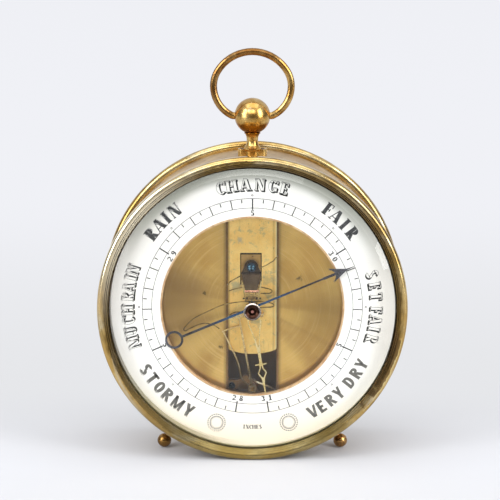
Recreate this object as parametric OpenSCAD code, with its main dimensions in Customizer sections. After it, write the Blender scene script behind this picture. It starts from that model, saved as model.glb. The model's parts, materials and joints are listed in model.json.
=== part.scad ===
// Desk barometer of the Bourdon tube kind: an open dial in a round brass case
// that stands on its two rims and two ball feet and hangs from a ring.
// X is right, Y goes into the case, Z is up. Depths are counted from the plane
// where the bezel is widest, and positions on the dial from the drum axis.

/* [Case] */
// Outer radius of the front bezel
bezel_r = 72.5; // [68:0.5:76]
// Width of the bezel's face, from its edge to the opening
bezel_w = 5.2; // [5:0.1:5.6]
// Distance of the drum wall inside the bezel's edge
drum_inset = 3.5; // [3.2:0.1:4]
// Thickness of the drum wall
drum_wall = 1.4; // [1:0.1:1.8]
// Depth from the bezel's widest plane to the flat rear face
case_depth = 52; // [50:0.5:60]
// Radius of the bead round the bezel
bezel_bead_r = 2.2; // [1.8:0.1:2.6]
// Number of fine ribs turned in the bezel's slope
bezel_ribs = 3; // [2:1:5]
// Radius of the bead round the back rim
rim_bead_r = 2.4; // [2:0.1:2.8]
// Distance of the back rim's widest plane from the rear face
rim_plane = 3; // [2.7:0.1:4]
// Thickness of the back rim's inner flange
rim_flange = 1.7; // [1.6:0.1:2.2]
// Thickness of the back plate
back_plate_t = 1.5; // [1:0.1:2]

/* [Glass] */
// Thickness of the glass
glass_t = 2.6; // [2.2:0.1:3]
// Distance that the glass stands ahead of the bezel's widest plane
glass_ahead = 2; // [1.8:0.1:2.2]
// Width of the bevel that shows inside the bezel
bevel_w = 3.3; // [2:0.1:9]
// Depth of the bevel at the edge of the glass
bevel_drop = 1.1; // [0.6:0.1:1.3]

/* [Stand and ring] */
// Diameter of a ball foot
foot_ball_d = 6.7; // [5.5:0.1:8]
// Angle of each foot from straight down
foot_angle = 31.6; // [25:0.1:40]
// Depth of the feet
foot_depth = 18.5; // [14:0.5:30]
// Diameter of the pendant ball
ball_d = 16.9; // [14:0.1:18]
// Height of the pendant ball's centre above the drum
ball_rise = 19; // [17:0.5:25]
// Depth of the pendant
pendant_depth = 24.3; // [16:0.1:34]
// Diameter of the ring's wire
ring_wire_d = 3.35; // [2.6:0.05:4]
// Half of the ring's width, to the middle of the wire
ring_half_w = 18.25; // [16.5:0.05:20]
// Height of the ring above its widest level, to the middle of the wire
ring_half_h = 16.2; // [14.5:0.1:17.5]
// Radius of the arcs at the upper sides of the ring
ring_side_r = 13.5; // [12.5:0.1:14]
// Radius of the arcs below the ring's widest level
ring_low_r = 15.4; // [14:0.1:16.5]

/* [Dial and hands] */
// Width of the dial from its edge to its opening
dial_w = 24.15; // [23.5:0.05:25.5]
// Depth of the dial's face
dial_depth = 6.2; // [6:0.1:7]
// Thickness of the dial
dial_t = 1; // [0.8:0.1:1.4]
// Wall of the brass ring in the dial's opening
aperture_wall = 0.8; // [0.6:0.1:1.2]
// Length of the pointer from the axis to its tip
pointer_len = 47.3; // [44:0.1:50]
// Distance of the pointer's tail ring from the axis
tail_len = 39.9; // [30:0.1:42]
// Angle that the pointer shows at rest, clockwise from the top
pointer_rest = 67.2; // [60:0.1:75]
// Length of the set hand
set_hand_len = 41.5; // [36:0.5:44]
// Angle of the set hand at rest, clockwise from the top
set_hand_rest = 171.3; // [0:0.1:360]
// Diameter of the set hand's knob
knob_d = 8.2; // [7:0.1:10]
// Distance that the knob stands ahead of the bezel's widest plane
knob_reach = 5.2; // [4.8:0.1:7]

/* [Movement] */
// Gap between the drum wall and the movement plate
plate_gap = 6.6; // [6:0.1:7.6]
// Thickness of the movement plate
plate_t = 1.5; // [1.2:0.1:1.8]
// Width of the slot in the movement plate
slot_w = 24.8; // [24.4:0.1:26]
// Width of the bridge strap
strap_w = 22.8; // [22:0.1:24]
// Thickness of the bridge strap
strap_t = 1.5; // [1.2:0.1:1.6]
// Position of the sector's arbor, right of the drum axis
sector_x = 0; // [-0.5:0.1:0.5]
// Distance of the sector's arbor inside the movement plate's edge
sector_inset = 21; // [20.8:0.1:23]
// Turns of the pinion for one turn of the sector
gear_ratio = 14; // [13:0.5:15]
// Teeth of the pinion
pinion_teeth = 12; // [12:1:14]
// Half of the sector's toothed angle
sector_half_angle = 14; // [13:0.5:15]
// Distance of the wire brace inside the sector's toothed rim
brace_inset = 3.8; // [3:0.1:8]
// Gap between the Bourdon tube and the pillars
tube_gap = 2.9; // [2:0.1:3.4]
// Thickness of the flattened tube
tube_t = 4; // [3:0.1:4.4]
// Width of the flattened tube
tube_w = 16; // [12:0.5:18]
// Wall of the tube
tube_wall = 0.5; // [0.3:0.05:0.8]
// Angle of each tube end from straight down
tube_end_angle = 27; // [25:0.5:32]
// Length of a tube end block, as an angle
end_block_angle = 8; // [7:0.5:10]

/* [Clearances] */
// Radial clearance of a turning shaft in its hole
running = 0.05; // [0.02:0.01:0.08]
// Radial clearance of a fixed piece in its hole
seat = 0.03; // [0.02:0.01:0.08]
// Gap between faces that pass each other
pass = 0.3; // [0.25:0.05:0.4]
// Radial clearance of the glass and other discs in the case
disc_gap = 0.15; // [0.1:0.05:0.3]

/* [Hidden] */
$fn = 64;

// The case, along its depth
axis_z = bezel_r;
front_y = knob_reach - (case_depth + knob_reach) / 2;
drum_r = bezel_r - drum_inset;
drum_in_r = drum_r - drum_wall;
bezel_open_r = bezel_r - bezel_w;
bevel_r = bezel_open_r - bevel_w;
glass_front = -glass_ahead;
glass_back = glass_front + glass_t;
glass_land = glass_front + bevel_drop;
bezel_bore_r = drum_r + seat;
bezel_back = 6;
glass_r = bezel_bore_r - disc_gap;
spacer_r = drum_in_r - disc_gap;
spacer_wall = 0.8;
ledge_w = 4;
ledge_r = drum_in_r - ledge_w;
ledge_t = 1.2;
dial_r = drum_in_r - disc_gap;
dial_open_r = dial_r - dial_w;
dial_back = dial_depth + dial_t;
flange_w = 5.1;
flange_in_r = drum_in_r - flange_w;
flange_front = case_depth - rim_flange;
back_plate_front = flange_front - back_plate_t;
back_plate_r = drum_in_r - disc_gap;
rim_plane_depth = case_depth - rim_plane;
rim_skirt = 4.4;

// The movement, along its depth
strap_front = 8.5;
strap_back = strap_front + strap_t;
plate_front = 12;
plate_back = plate_front + plate_t;
pointer_depth = 4.2;
pointer_t = 0.5;
set_hand_depth = 1.6;
set_hand_t = 0.5;
sector_front = 6.6;
sector_t = 0.8;
sector_back = sector_front + sector_t;
crank_front = 12.6;
crank_t = 1;
crank_back = crank_front + crank_t;
link_gap = 0.4;
link_t = 0.8;
link_front = crank_back + link_gap;
link_back = link_front + link_t;
cock_front = link_back + 0.6;
cock_t = 2;
tube_front = 20;
tube_back = tube_front + tube_w;
saddle_margin = 2.5;

// The movement, seen from the front
plate_r = drum_in_r - plate_gap;
sector_z = sector_inset - plate_r;
pillar_r = 2.6;
pillar_inset = 4.5;
pillar_ring_r = plate_r - pillar_inset;
tube_out_r = pillar_ring_r - pillar_r - tube_gap;
tube_r = tube_out_r - tube_t / 2;
tube_in_r = tube_r - tube_t / 2;
column_drop = 1.8;
column_h = 7.2;
column_z = [tube_in_r - column_drop - column_h, tube_in_r - column_drop];
slot_top = column_z[1] + pass;
slot_bottom = sector_z - 10;

// Gears
centre_distance = norm([sector_x, sector_z]);
pinion_r = centre_distance / (1 + gear_ratio);
gear_module = 2 * pinion_r / pinion_teeth;
sector_teeth = pinion_teeth * gear_ratio;
sector_r = pinion_r * gear_ratio;
tooth_slack = 0.16;
centre_line = atan2(-sector_x, -sector_z);
sector_lean = centre_line - pointer_rest / gear_ratio;
sector_rim_r = sector_r - 1.25 * gear_module - 1.4;

// Arbors and pins
arbor_r = 0.75;
sector_arbor_r = 1;
set_arbor_r = 1;
sector_hub_r = 2;
crank_pin = [-3.3, 3.7];
crank_pin_r = 0.6;
crank_eye_r = 1.4;
tube_pin_angle = tube_end_angle - 0.6 * end_block_angle;
tube_pin = at_angle(tube_r, 180 - tube_pin_angle);
tube_pin_r = 0.6;
link_play = 1.4;
link_side = 0.15;
link_wall = 0.6;
link_shank_w = 0.8;
post_r = 1.6;

set_bush_r = set_arbor_r + 0.9;
set_nut_back = set_hand_depth + set_hand_t + 0.9;
arbor_back = plate_back + cock_t + 0.4;

// Fasteners
pillar_angles = [60, 180, 300];
pillar_thread = 5;
thread_in = 4;
vent_r = 1.5;
screw_r = 1;
screw_head_r = 1.9;
screw_head_h = 1;
slot_cut = 0.5;
rim_screw_ring_r = (drum_in_r + flange_in_r) / 2;
rim_screw_angles = [45, 135, 225, 315];
rim_screw_head_r = 1.7;
foot_stud_r = 1.15;
foot_neck_r = 1.4;
foot_collar_r = 2.4;
foot_collar_h = 0.9;
foot_nut_r = 2.5;
foot_nut_t = 1.6;
foot_nut_seat = sqrt(drum_in_r ^ 2 - foot_nut_r ^ 2) - seat;
foot_reach = (axis_z - foot_ball_d / 2) / cos(foot_angle);
pendant_ear_r = 2.2;
pendant_base_r = 3.7;
pendant_flange_h = 3.4;
pendant_flange_top = drum_r + pendant_flange_h;
ball_height = drum_r + ball_rise;
pendant_screw_x = 4.6;
pendant_screw_r = 0.8;
pendant_screw_head_r = 1.3;
pendant_screw_sink = 1.1;

// The ring: tangent arcs, and a tighter bend into each end
ring_wire_r = ring_wire_d / 2;
ring_drop = ((ring_half_w - ring_side_r) ^ 2 - (ring_half_h - ring_side_r) ^ 2)
    / (2 * (ring_half_h - ring_side_r));
ring_top_r = ring_half_h + ring_drop;
ring_turn = atan2(ring_half_w - ring_side_r, ring_drop);
ring_bend_r = 2.5;
ring_end_x = ball_d / 2 + pass;
ring_low_x = ring_half_w - ring_low_r;
ring_bend_angle = asin((ring_end_x - ring_low_x) / (ring_low_r - ring_bend_r));
ring_centre = ball_height + (ring_low_r - ring_bend_r) * cos(ring_bend_angle) + ring_bend_r;
ring_pin_depth = 4;
ring_pin_r = ring_wire_r - 0.03;
ring_straight = pass - 0.05;
ring_sides = 16;
ball_bore_depth = ring_pin_depth + pass;

// The strap and what is seen through its window, right and up from the drum axis
strap_bottom = -23.3;
strap_bulge = 2.2;
strap_top = slot_top + 4.9;
strap_corner_r = 1.5;
window_x = [-5.7, 4.4];
window_z = [10.1, 25.5];
strap_post = [strap_w / 2 - 3.7, slot_top + 2.7];
strap_post_r = 1.6;
cock_post = [strap_w / 2 - 2.7, 0];
cock_post_r = 1.8;
cock_rivet_r = 0.9;
cock_screw_x = slot_w / 2 + 4.1;
sector_cock_screws = [for (x = [4.6, 10.1]) [-slot_w / 2 - x, sector_z + 1.4]];
stop_screw_at = [sector_x - 9.8, sector_z - 0.6];
blind_skin = 0.5;
leaf_screw_at = [-0.5, 18.5];
leaf_screw_r = 1.1;
leaf_screw_head_r = 2.2;
leaf_t = 0.6;
leaf_depth = strap_back - 0.3;
leaf_fold_z = 15.6;
leaf_tip_z = 8.1;
leaf_tip_depth = leaf_depth - 3.1;
leaf_fold_w = 9.5;
leaf_tip_w = 5.7;
leaf_round_r = 3.3;
bar_front = leaf_depth + leaf_t;
bar_back = bar_front + 2;
anchor_back = strap_front;
anchor_plate_t = 0.5;
anchor_front = 6.4;
anchor_z = [2.8, 12.4];
anchor_low_x = [-3.4, 3];
anchor_top_x = [-5.3, 4.5];
anchor_plate_top = 8.6;
anchor_wall = 0.65;
copper_bar_r = 0.6;
copper_bar_z = 7.4;
anchor_pin_r = 0.35;
anchor_pin_z = 3.9;
anchor_pin_out = 0.9;
anchor_pin_in = 0.9;
spring_depth = 8.15;
spring_wire_r = 0.25;
spring_cross_z = 9.1;

// The tube's column and clamp
column_half_w = 8;
column_screw_x = 5;
column_screw_z = (column_z[0] + column_z[1]) / 2;
saddle_front = tube_front - saddle_margin;
saddle_back = tube_back + saddle_margin;
clamp_half_w = 6;
clamp_t = 2;
clamp_screw_inset = saddle_margin / 2;
clamp_screw_r = 0.7;
clamp_screw_head_r = 1.15;
clamp_screw_depths = [saddle_front + clamp_screw_inset, saddle_back - clamp_screw_inset];
tube_seat = 0.1;

// The zero adjustment
adjuster_z = column_z[0] - 8;
adjuster_r = 1.5;
adjuster_head_r = 3.2;
adjuster_head_h = 1.2;
bush_r = 3;
bush_flange_r = 4.4;
bush_flange_t = 1;

// A turned form about the drum axis, or about a line beside it, from a profile of radius and depth
module turned(x = 0, z = 0) {
    translate([x, front_y, axis_z + z]) rotate([-90, 0, 0]) rotate_extrude() children();
}

// A flat form seen from the front, between two depths
module plate(from, to, x = 0, z = 0) {
    translate([x, front_y + to, axis_z + z]) rotate([90, 0, 0]) linear_extrude(to - from) children();
}

// A round bar along the depth
module pin(from, to, r, x = 0, z = 0) {
    translate([x, front_y + from, axis_z + z]) rotate([-90, 0, 0]) cylinder(h = to - from, r = r);
}

// A turned form about an upright line through the pendant
module upright() {
    translate([0, front_y + pendant_depth, axis_z]) rotate_extrude() children();
}

// A turned form about a line that leaves the drum axis at an angle from straight down
module radial(angle, depth) {
    translate([0, front_y + depth, axis_z]) rotate([0, 180 - angle, 0]) rotate_extrude() children();
}

// A slotted screw along the depth, its head in front
module screw(from, length, head_r, head_h, shank_r, x = 0, z = 0, slot_turn = 0) {
    difference() {
        union() {
            pin(from, from + head_h, head_r, x, z);
            pin(from + head_h, from + head_h + length, shank_r, x, z);
        }
        plate(from - 1, from + slot_cut, x, z)
            rotate(slot_turn) square([3 * head_r, head_r / 3], center = true);
    }
}

// The same screw driven in from the back
module rear_screw(to, length, head_r, head_h, shank_r, x = 0, z = 0, slot_turn = 0) {
    difference() {
        union() {
            pin(to - head_h, to, head_r, x, z);
            pin(to - head_h - length, to - head_h, shank_r, x, z);
        }
        plate(to - slot_cut, to + 1, x, z)
            rotate(slot_turn) square([3 * head_r, head_r / 3], center = true);
    }
}

// A point on a circle, by its angle clockwise from the top
function at_angle(r, a) = [r * sin(a), r * cos(a)];

// Points of an arc about a centre, from one angle to another, clockwise from the top
function arc_points(centre, r, from, to, steps) =
    [for (i = [0:steps]) centre + at_angle(r, from + (to - from) * i / steps)];

// A list without its first entry
function after_first(list) = [for (i = [1:len(list) - 1]) list[i]];

// Copies of a row of outline points, mirrored left to right and run back again
function closed(side) = concat(side, [for (i = [len(side) - 1:-1:0]) [-side[i].x, side[i].y]]);

module case_drum() {
    color("#8a7768") difference() {
        turned() {
            translate([drum_in_r, glass_back]) square([drum_wall, flange_front - glass_back]);
            translate([ledge_r, dial_back]) square([drum_in_r - ledge_r + drum_wall / 2, ledge_t]);
        }
        for (side = [-1, 1]) {
            foot_hole(side);
            pendant_screw_shank(side, running);
        }
    }
}

module foot_hole(side) {
    radial(side * foot_angle, foot_depth)
        translate([0, drum_in_r - 2]) square([foot_stud_r + running, drum_wall + 4]);
}

module front_bezel() {
    bead_x = bezel_r - bezel_bead_r;
    bead_depth = -1.6;
    slope_start = [bezel_open_r, glass_land - 0.6];
    slope_end = [bead_x - 0.6, bead_depth - bezel_bead_r + 0.3];
    rib_h = 0.16;
    steps = 2 * bezel_ribs;
    slope = [for (i = [0:steps])
        slope_start + (slope_end - slope_start) * i / steps - [0, i % 2 == 1 ? rib_h : 0]];
    color("#b8914a") turned() {
        intersection() {
            translate([bead_x, bead_depth]) circle(bezel_bead_r);
            translate([bead_x - 0.6, bead_depth - bezel_bead_r]) square(2 * bezel_bead_r);
        }
        polygon(concat([[bezel_open_r, glass_land]], slope, [
            [bead_x, bead_depth - bezel_bead_r + 0.2],
            [bead_x, bead_depth],
            [bezel_r, bead_depth],
            [bezel_r, 0.5],
            [bezel_r - 0.5, 1.9],
            [bezel_bore_r + 1.3, 2.8],
            [bezel_bore_r + 1.3, bezel_back],
            [bezel_bore_r, bezel_back],
            [bezel_bore_r, glass_land]
        ]));
    }
}

module glass() {
    bevel_end = bezel_open_r - 0.5;
    color([0.85, 0.92, 0.95, 0.35]) turned() polygon([
        [set_bush_r + seat, glass_front],
        [bevel_r, glass_front],
        [bevel_end, glass_land],
        [glass_r, glass_land],
        [glass_r, glass_back],
        [set_bush_r + seat, glass_back]
    ]);
}

module glass_bush() {
    bore = set_arbor_r + running;
    flange_r = 3;
    flange_t = 0.4;
    color("#b8975a") turned() {
        translate([bore, glass_front]) square([set_bush_r - bore, glass_t]);
        translate([bore, glass_back]) square([flange_r - bore, flange_t]);
    }
}

module spacer_ring() {
    color("#4a3c2c") turned()
        translate([spacer_r - spacer_wall, glass_back]) square([spacer_wall, dial_depth - glass_back]);
}

module back_rim() {
    bead_x = bezel_r - rim_bead_r;
    skirt_x = bezel_bore_r + 1.1;
    color("#b8914a") difference() {
        turned() {
            intersection() {
                translate([bead_x, rim_plane_depth]) circle(rim_bead_r);
                translate([skirt_x - 0.4, rim_plane_depth - rim_bead_r]) square(2 * rim_bead_r);
            }
            polygon([
                [bezel_bore_r, rim_plane_depth - rim_skirt],
                [skirt_x, rim_plane_depth - rim_skirt],
                [skirt_x, rim_plane_depth],
                [bead_x + 1.2, rim_plane_depth],
                [bead_x + 1.2, rim_plane_depth + 2],
                [bead_x + 0.7, case_depth],
                [flange_in_r, case_depth],
                [flange_in_r, flange_front],
                [bezel_bore_r, flange_front]
            ]);
        }
        for (a = rim_screw_angles) {
            at = at_angle(rim_screw_ring_r, a);
            pin(flange_front - 1, case_depth + 1, screw_r + running, at.x, at.y);
            pin(case_depth - screw_head_h, case_depth + 1, rim_screw_head_r + disc_gap, at.x, at.y);
        }
    }
}

module rim_screws() {
    color("#6b5a3a") for (a = rim_screw_angles) {
        at = at_angle(rim_screw_ring_r, a);
        rear_screw(case_depth, rim_flange + back_plate_t - screw_head_h,
            rim_screw_head_r, screw_head_h, screw_r, at.x, at.y, 30 + a);
    }
}

module back_plate() {
    color("#a58a55") difference() {
        pin(back_plate_front, flange_front, back_plate_r);
        for (a = rim_screw_angles) {
            at = at_angle(rim_screw_ring_r, a);
            pin(back_plate_front - 1, flange_front + 1, screw_r + running, at.x, at.y);
        }
        for (a = pillar_angles) {
            at = at_angle(pillar_ring_r, a);
            pin(back_plate_front - 1, flange_front + 1, screw_r + running, at.x, at.y);
        }
        for (x = [-1, 1])
            pin(back_plate_front - 1, flange_front + 1, screw_r + running, x * column_screw_x, column_screw_z);
        pin(back_plate_front - 1, flange_front + 1, bush_r + seat, 0, adjuster_z);
        pin(back_plate_front - 1, flange_front + 1, vent_r, 0, -adjuster_z);
    }
}

// One ball foot: ball, neck, collar cut to the drum, and the stud through the wall
module foot(side) {
    difference() {
        radial(side * foot_angle, foot_depth) {
            intersection() {
                translate([0, foot_reach]) circle(foot_ball_d / 2);
                translate([0, drum_r]) square([foot_ball_d, foot_reach]);
            }
            translate([0, drum_r - 1]) square([foot_neck_r, foot_reach - drum_r]);
            translate([0, drum_r - 1]) square([foot_collar_r, foot_collar_h + 1]);
        }
        pin(foot_depth - 10, foot_depth + 10, drum_r);
    }
    radial(side * foot_angle, foot_depth)
        translate([0, foot_nut_seat - foot_nut_t - 0.4]) square([foot_stud_r, drum_r - foot_nut_seat + foot_nut_t + 1.4]);
}

module foot_left() {
    color("#a8793c") foot(-1);
}

module foot_right() {
    color("#7d6234") foot(1);
}

module foot_nuts() {
    color("#8f7440") for (side = [-1, 1])
        translate([0, front_y + foot_depth, axis_z]) rotate([0, 180 - side * foot_angle, 0])
            translate([0, 0, foot_nut_seat - foot_nut_t]) difference() {
                cylinder(h = foot_nut_t, r = foot_nut_r, $fn = 6);
                translate([0, 0, -1]) cylinder(h = foot_nut_t + 2, r = foot_stud_r + seat, $fn = 48);
            }
}

// The shank of one pendant screw, upright through the flange and the wall
module pendant_screw_shank(side, extra) {
    foot_z = drum_r - 3;
    translate([side * pendant_screw_x, front_y + pendant_depth, axis_z + foot_z])
        cylinder(h = pendant_flange_top - pendant_screw_sink - foot_z, r = pendant_screw_r + extra);
}

module pendant() {
    neck_r = 2.65;
    flare_r = 4.2;
    cone_r = 4.6;
    waist = pendant_flange_top + 3.7;
    ring_z = ball_height - ball_d / 2 + 0.35;
    ring_r = 3.85;
    ring_t = 0.3;
    color("#b5863c") difference() {
        union() {
            translate([0, front_y + pendant_depth, axis_z + drum_r - 1])
                linear_extrude(pendant_flange_top - drum_r + 1) pendant_foot();
            upright() {
                polygon(concat(
                    [[0, pendant_flange_top - 1]],
                    [[pendant_base_r, pendant_flange_top - 1], [pendant_base_r + 0.8, pendant_flange_top]],
                    arc_points([neck_r + flare_r, waist], flare_r, 214, 270, 6),
                    arc_points([neck_r + 0.1 + cone_r, waist + 1], cone_r, 270, 302, 4),
                    [[0, ring_z]]
                ));
                translate([0, ring_z - ring_t]) square([ring_r - ring_t, 2 * ring_t]);
                translate([ring_r - ring_t, ring_z]) circle(ring_t);
                intersection() {
                    translate([0, ball_height]) circle(ball_d / 2);
                    translate([0, ball_height - ball_d]) square([ball_d, 2 * ball_d]);
                }
            }
        }
        pin(pendant_depth - 12, pendant_depth + 12, drum_r);
        for (side = [-1, 1]) {
            pendant_screw_shank(side, running);
            translate([side * pendant_screw_x, front_y + pendant_depth, axis_z + pendant_flange_top - pendant_screw_sink])
                cylinder(h = pendant_screw_sink + 1, r = pendant_screw_head_r + disc_gap);
            translate([side * (ball_d / 2 - ball_bore_depth), front_y + pendant_depth, axis_z + ball_height])
                rotate([0, side * 90, 0]) cylinder(h = ball_d, r = ring_pin_r + running);
        }
    }
}

// The pendant's foot seen from above: a round base with an ear for a screw on either side
module pendant_foot() {
    circle(pendant_base_r);
    square([2 * pendant_screw_x, 2 * pendant_ear_r], center = true);
    for (side = [-1, 1]) translate([side * pendant_screw_x, 0]) circle(pendant_ear_r);
}

module pendant_screws() {
    head_h = 0.8;
    color("#4a3a28") for (side = [-1, 1]) difference() {
        union() {
            pendant_screw_shank(side, 0);
            translate([side * pendant_screw_x, front_y + pendant_depth, axis_z + pendant_flange_top - pendant_screw_sink])
                cylinder(h = head_h, r = pendant_screw_head_r);
        }
        translate([side * pendant_screw_x, front_y + pendant_depth, axis_z + pendant_flange_top - pendant_screw_sink + head_h])
            rotate([0, 0, side * 35]) cube([4, 0.4, 0.6], center = true);
    }
}

// Points of the wire's middle line from the top to the right end, right and up from the drum axis
function ring_line(steps) = concat(
    arc_points([0, ring_centre - ring_drop], ring_top_r, 0, ring_turn, steps),
    after_first(arc_points([ring_half_w - ring_side_r, ring_centre], ring_side_r, ring_turn, 90, ceil(steps / 2))),
    after_first(arc_points([ring_low_x, ring_centre], ring_low_r, 90, 180 - ring_bend_angle, steps)),
    after_first(arc_points([ring_end_x, ball_height + ring_bend_r], ring_bend_r, 180 - ring_bend_angle, 180, 3)),
    [[ring_end_x - ring_straight, ball_height]]
);

module carrying_ring() {
    half = ring_line(9);
    line = concat([for (i = [len(half) - 1:-1:1]) [-half[i].x, half[i].y]], half);
    pin_x = ball_d / 2 - ring_pin_depth;
    color("#c08f3e") union() {
        flat_wire(line, ring_wire_r * 1.015, ring_sides, pendant_depth);
        for (side = [-1, 1]) translate([side * pin_x, front_y + pendant_depth, axis_z + ball_height])
            rotate([0, side * 90, 0]) cylinder(h = ring_end_x - 0.15 - pin_x, r = ring_pin_r);
    }
}

module dial() {
    color("#f4f1e6") plate(dial_depth, dial_back) difference() {
        circle(dial_r);
        circle(dial_open_r);
    }
}

module aperture_ring() {
    ring_r = dial_open_r - seat;
    in_r = ring_r - aperture_wall;
    color("#c9a86a") turned() {
        translate([in_r, dial_depth - pass]) square([aperture_wall, strap_front - dial_depth]);
        translate([in_r, dial_back]) square([aperture_wall + 2.4, 0.6]);
    }
}

module pointer() {
    hub_r = 2.3;
    tail_ring_r = 4.3;
    tail_line = 1.05;
    barb = [3, 7.6];
    notch = 2.6;
    shaft = [0.55, 0.35];
    outline = closed([
        [0.9, -hub_r],
        [shaft[0], -hub_r],
        [shaft[0], 0],
        [shaft[1], pointer_len - notch],
        [barb.x, pointer_len - barb.y],
        [0.01, pointer_len]
    ]);
    color("#2f3e58") plate(pointer_depth, pointer_depth + pointer_t) rotate(-pointer_rest) difference() {
        union() {
            circle(hub_r);
            polygon(outline);
            translate([-shaft[0], -tail_len + tail_ring_r - tail_line / 2])
                square([2 * shaft[0], tail_len - tail_ring_r]);
            translate([0, -tail_len]) circle(tail_ring_r);
        }
        translate([0, -tail_len]) circle(tail_ring_r - tail_line);
        circle(arbor_r + seat);
    }
}

module pointer_collet() {
    collet_back = sector_front - pass;
    color("#2f3e58") turned() polygon([
        [arbor_r + seat, pointer_depth + pointer_t],
        [2, pointer_depth + pointer_t],
        [2, pointer_depth + pointer_t + 0.7],
        [1.4, collet_back - 0.4],
        [arbor_r + seat, collet_back - 0.4]
    ]);
}

// Half of the angle that a tooth takes at a radius, for a tooth with involute flanks
function involute(r, base) = (sqrt(r ^ 2 - base ^ 2) / base) * 180 / PI - acos(base / r);
function tooth_half(r, pitch, base, teeth) =
    (90 - 90 * tooth_slack) / teeth + (r > base ? involute(pitch, base) - involute(max(r, base), base)
        : involute(pitch, base));

// Teeth of a gear about the origin, as one outline; the first tooth points up
module gear_outline(teeth, first, last, root_in) {
    pitch = gear_module * teeth / 2;
    base = pitch * cos(20);
    root = pitch - 1.25 * gear_module;
    tip = pitch + 0.9 * gear_module;
    flank_steps = 3;
    flank = [for (i = [0:flank_steps]) root + (tip - root) * i / flank_steps];
    step = 360 / teeth;
    teeth_points = [for (k = [first:last]) each concat(
        [for (r = flank) at_angle(r, k * step - tooth_half(r, pitch, base, teeth))],
        [for (i = [flank_steps:-1:0]) at_angle(flank[i], k * step + tooth_half(flank[i], pitch, base, teeth))]
    )];
    polygon(concat(teeth_points,
        root_in > 0 ? arc_points([0, 0], root_in, last * step, first * step, last - first) : []));
}

module pointer_arbor() {
    front = set_nut_back + pass;
    teeth_front = sector_front - 0.1;
    teeth_back = sector_back + 0.1;
    color("#9aa0a6") union() {
        pin(front, arbor_back, arbor_r);
        plate(teeth_front, teeth_back) rotate(-pointer_rest - centre_line + 180 / pinion_teeth)
            gear_outline(pinion_teeth, 0, pinion_teeth - 1, 0);
    }
}

// Outline of the set hand: distance from the axis and half width of each side
set_hand_side = [
    [0.3, 0], [0.5, 5], [3, 4.2], [3.2, 6.8], [2.3, 10.2], [1.4, 14.1], [0.85, 18.8], [0.7, 21.7],
    [0.6, 25.1], [1, 29.1], [2.15, 31.2], [0.8, 33.9], [0.4, 37], [0.25, 40.5], [0.05, 41.5]
];
set_hand_wire = 0.55;

module set_hand() {
    last_point = set_hand_side[len(set_hand_side) - 1];
    grow = set_hand_len / last_point.y;
    outer = [for (p = [for (i = [2:len(set_hand_side) - 1]) set_hand_side[i]]) [p.x, p.y * grow]];
    loop = [for (i = [0:4]) [outer[i].x - set_hand_wire, outer[i].y]];
    lozenge_mid = outer[8];
    bar_at = 27 * grow;
    bar_half = 2.7;
    hub_r = 2.2;
    color("#d9c07a") plate(set_hand_depth, set_hand_depth + set_hand_t) rotate(-set_hand_rest) difference() {
        union() {
            circle(hub_r);
            polygon(closed(concat([[1.6, 1.5]], outer)));
            translate([-bar_half, bar_at - set_hand_wire / 2]) square([2 * bar_half, set_hand_wire]);
        }
        polygon(closed(concat([[1.9, hub_r + 1.4]], [for (p = loop) p])));
        polygon(closed([
            [0.1, lozenge_mid.y - 3.6],
            [0.45, lozenge_mid.y - 2.1],
            [lozenge_mid.x - set_hand_wire, lozenge_mid.y],
            [0.3, lozenge_mid.y + 2.2]
        ]));
        circle(set_arbor_r + seat);
    }
}

module set_hand_knob() {
    r = knob_d / 2;
    face = -knob_reach;
    back = glass_front - pass;
    color("#4a3028") turned() polygon([
        [0, face + 0.9],
        [0.7, face + 0.9],
        [0.9, face + 1.2],
        [0.95, face + 2.1],
        [1.6, face + 2.1],
        [1.8, face + 1.3],
        [2.6, face + 0.9],
        [3.5, face + 0.3],
        [r - 0.35, face],
        [r, face + 0.35],
        [r, face + 1.3],
        [r - 0.9, back - 0.5],
        [r - 1.2, back],
        [set_arbor_r, back],
        [set_arbor_r, set_nut_back],
        [0, set_nut_back]
    ]);
}

module set_hand_nut() {
    color("#c9a86a") turned()
        translate([set_arbor_r + seat, set_hand_depth + set_hand_t]) square([0.9, 0.8]);
}

module movement_plate() {
    blind = plate_front + blind_skin;
    color("#b8975a") difference() {
        plate(plate_front, plate_back) difference() {
            circle(plate_r);
            translate([-slot_w / 2, slot_bottom]) square([slot_w, slot_top - slot_bottom]);
            for (a = pillar_angles) translate(at_angle(pillar_ring_r, a)) circle(screw_r + running);
            for (x = [-1, 1]) translate([x * strap_post.x, strap_post.y]) circle(screw_r + running);
        }
        for (x = [-1, 1]) pin(blind, plate_back + 1, screw_r + running, x * cock_screw_x, 0);
        for (p = sector_cock_screws) pin(blind, plate_back + 1, screw_r + running, p.x, p.y);
    }
}

module movement_pillars() {
    color("#b8975a") for (a = pillar_angles) {
        at = at_angle(pillar_ring_r, a);
        difference() {
            turned(at.x, at.y) polygon([
                [0, plate_back],
                [pillar_r, plate_back],
                [pillar_r, plate_back + 3],
                [pillar_r - 0.8, plate_back + 4.5],
                [pillar_r - 0.8, back_plate_front - 4.5],
                [pillar_r, back_plate_front - 3],
                [pillar_r, back_plate_front],
                [0, back_plate_front]
            ]);
            pin(plate_back - 1, plate_back + pillar_thread, screw_r + running, at.x, at.y);
            pin(back_plate_front - pillar_thread, back_plate_front + 1, screw_r + running, at.x, at.y);
        }
    }
}

module pillar_screws() {
    color("#6b5a3a") {
        for (a = pillar_angles) {
            at = at_angle(pillar_ring_r, a);
            screw(plate_front - screw_head_h, plate_t + thread_in, screw_head_r, screw_head_h, screw_r,
                at.x, at.y, 20 + a);
            rear_screw(flange_front + screw_head_h, back_plate_t + thread_in, screw_head_r, screw_head_h,
                screw_r, at.x, at.y, a);
        }
        for (x = [-1, 1])
            rear_screw(flange_front + screw_head_h, back_plate_t + thread_in, screw_head_r, screw_head_h,
                screw_r, x * column_screw_x, column_screw_z, 60 * x);
    }
}

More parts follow.
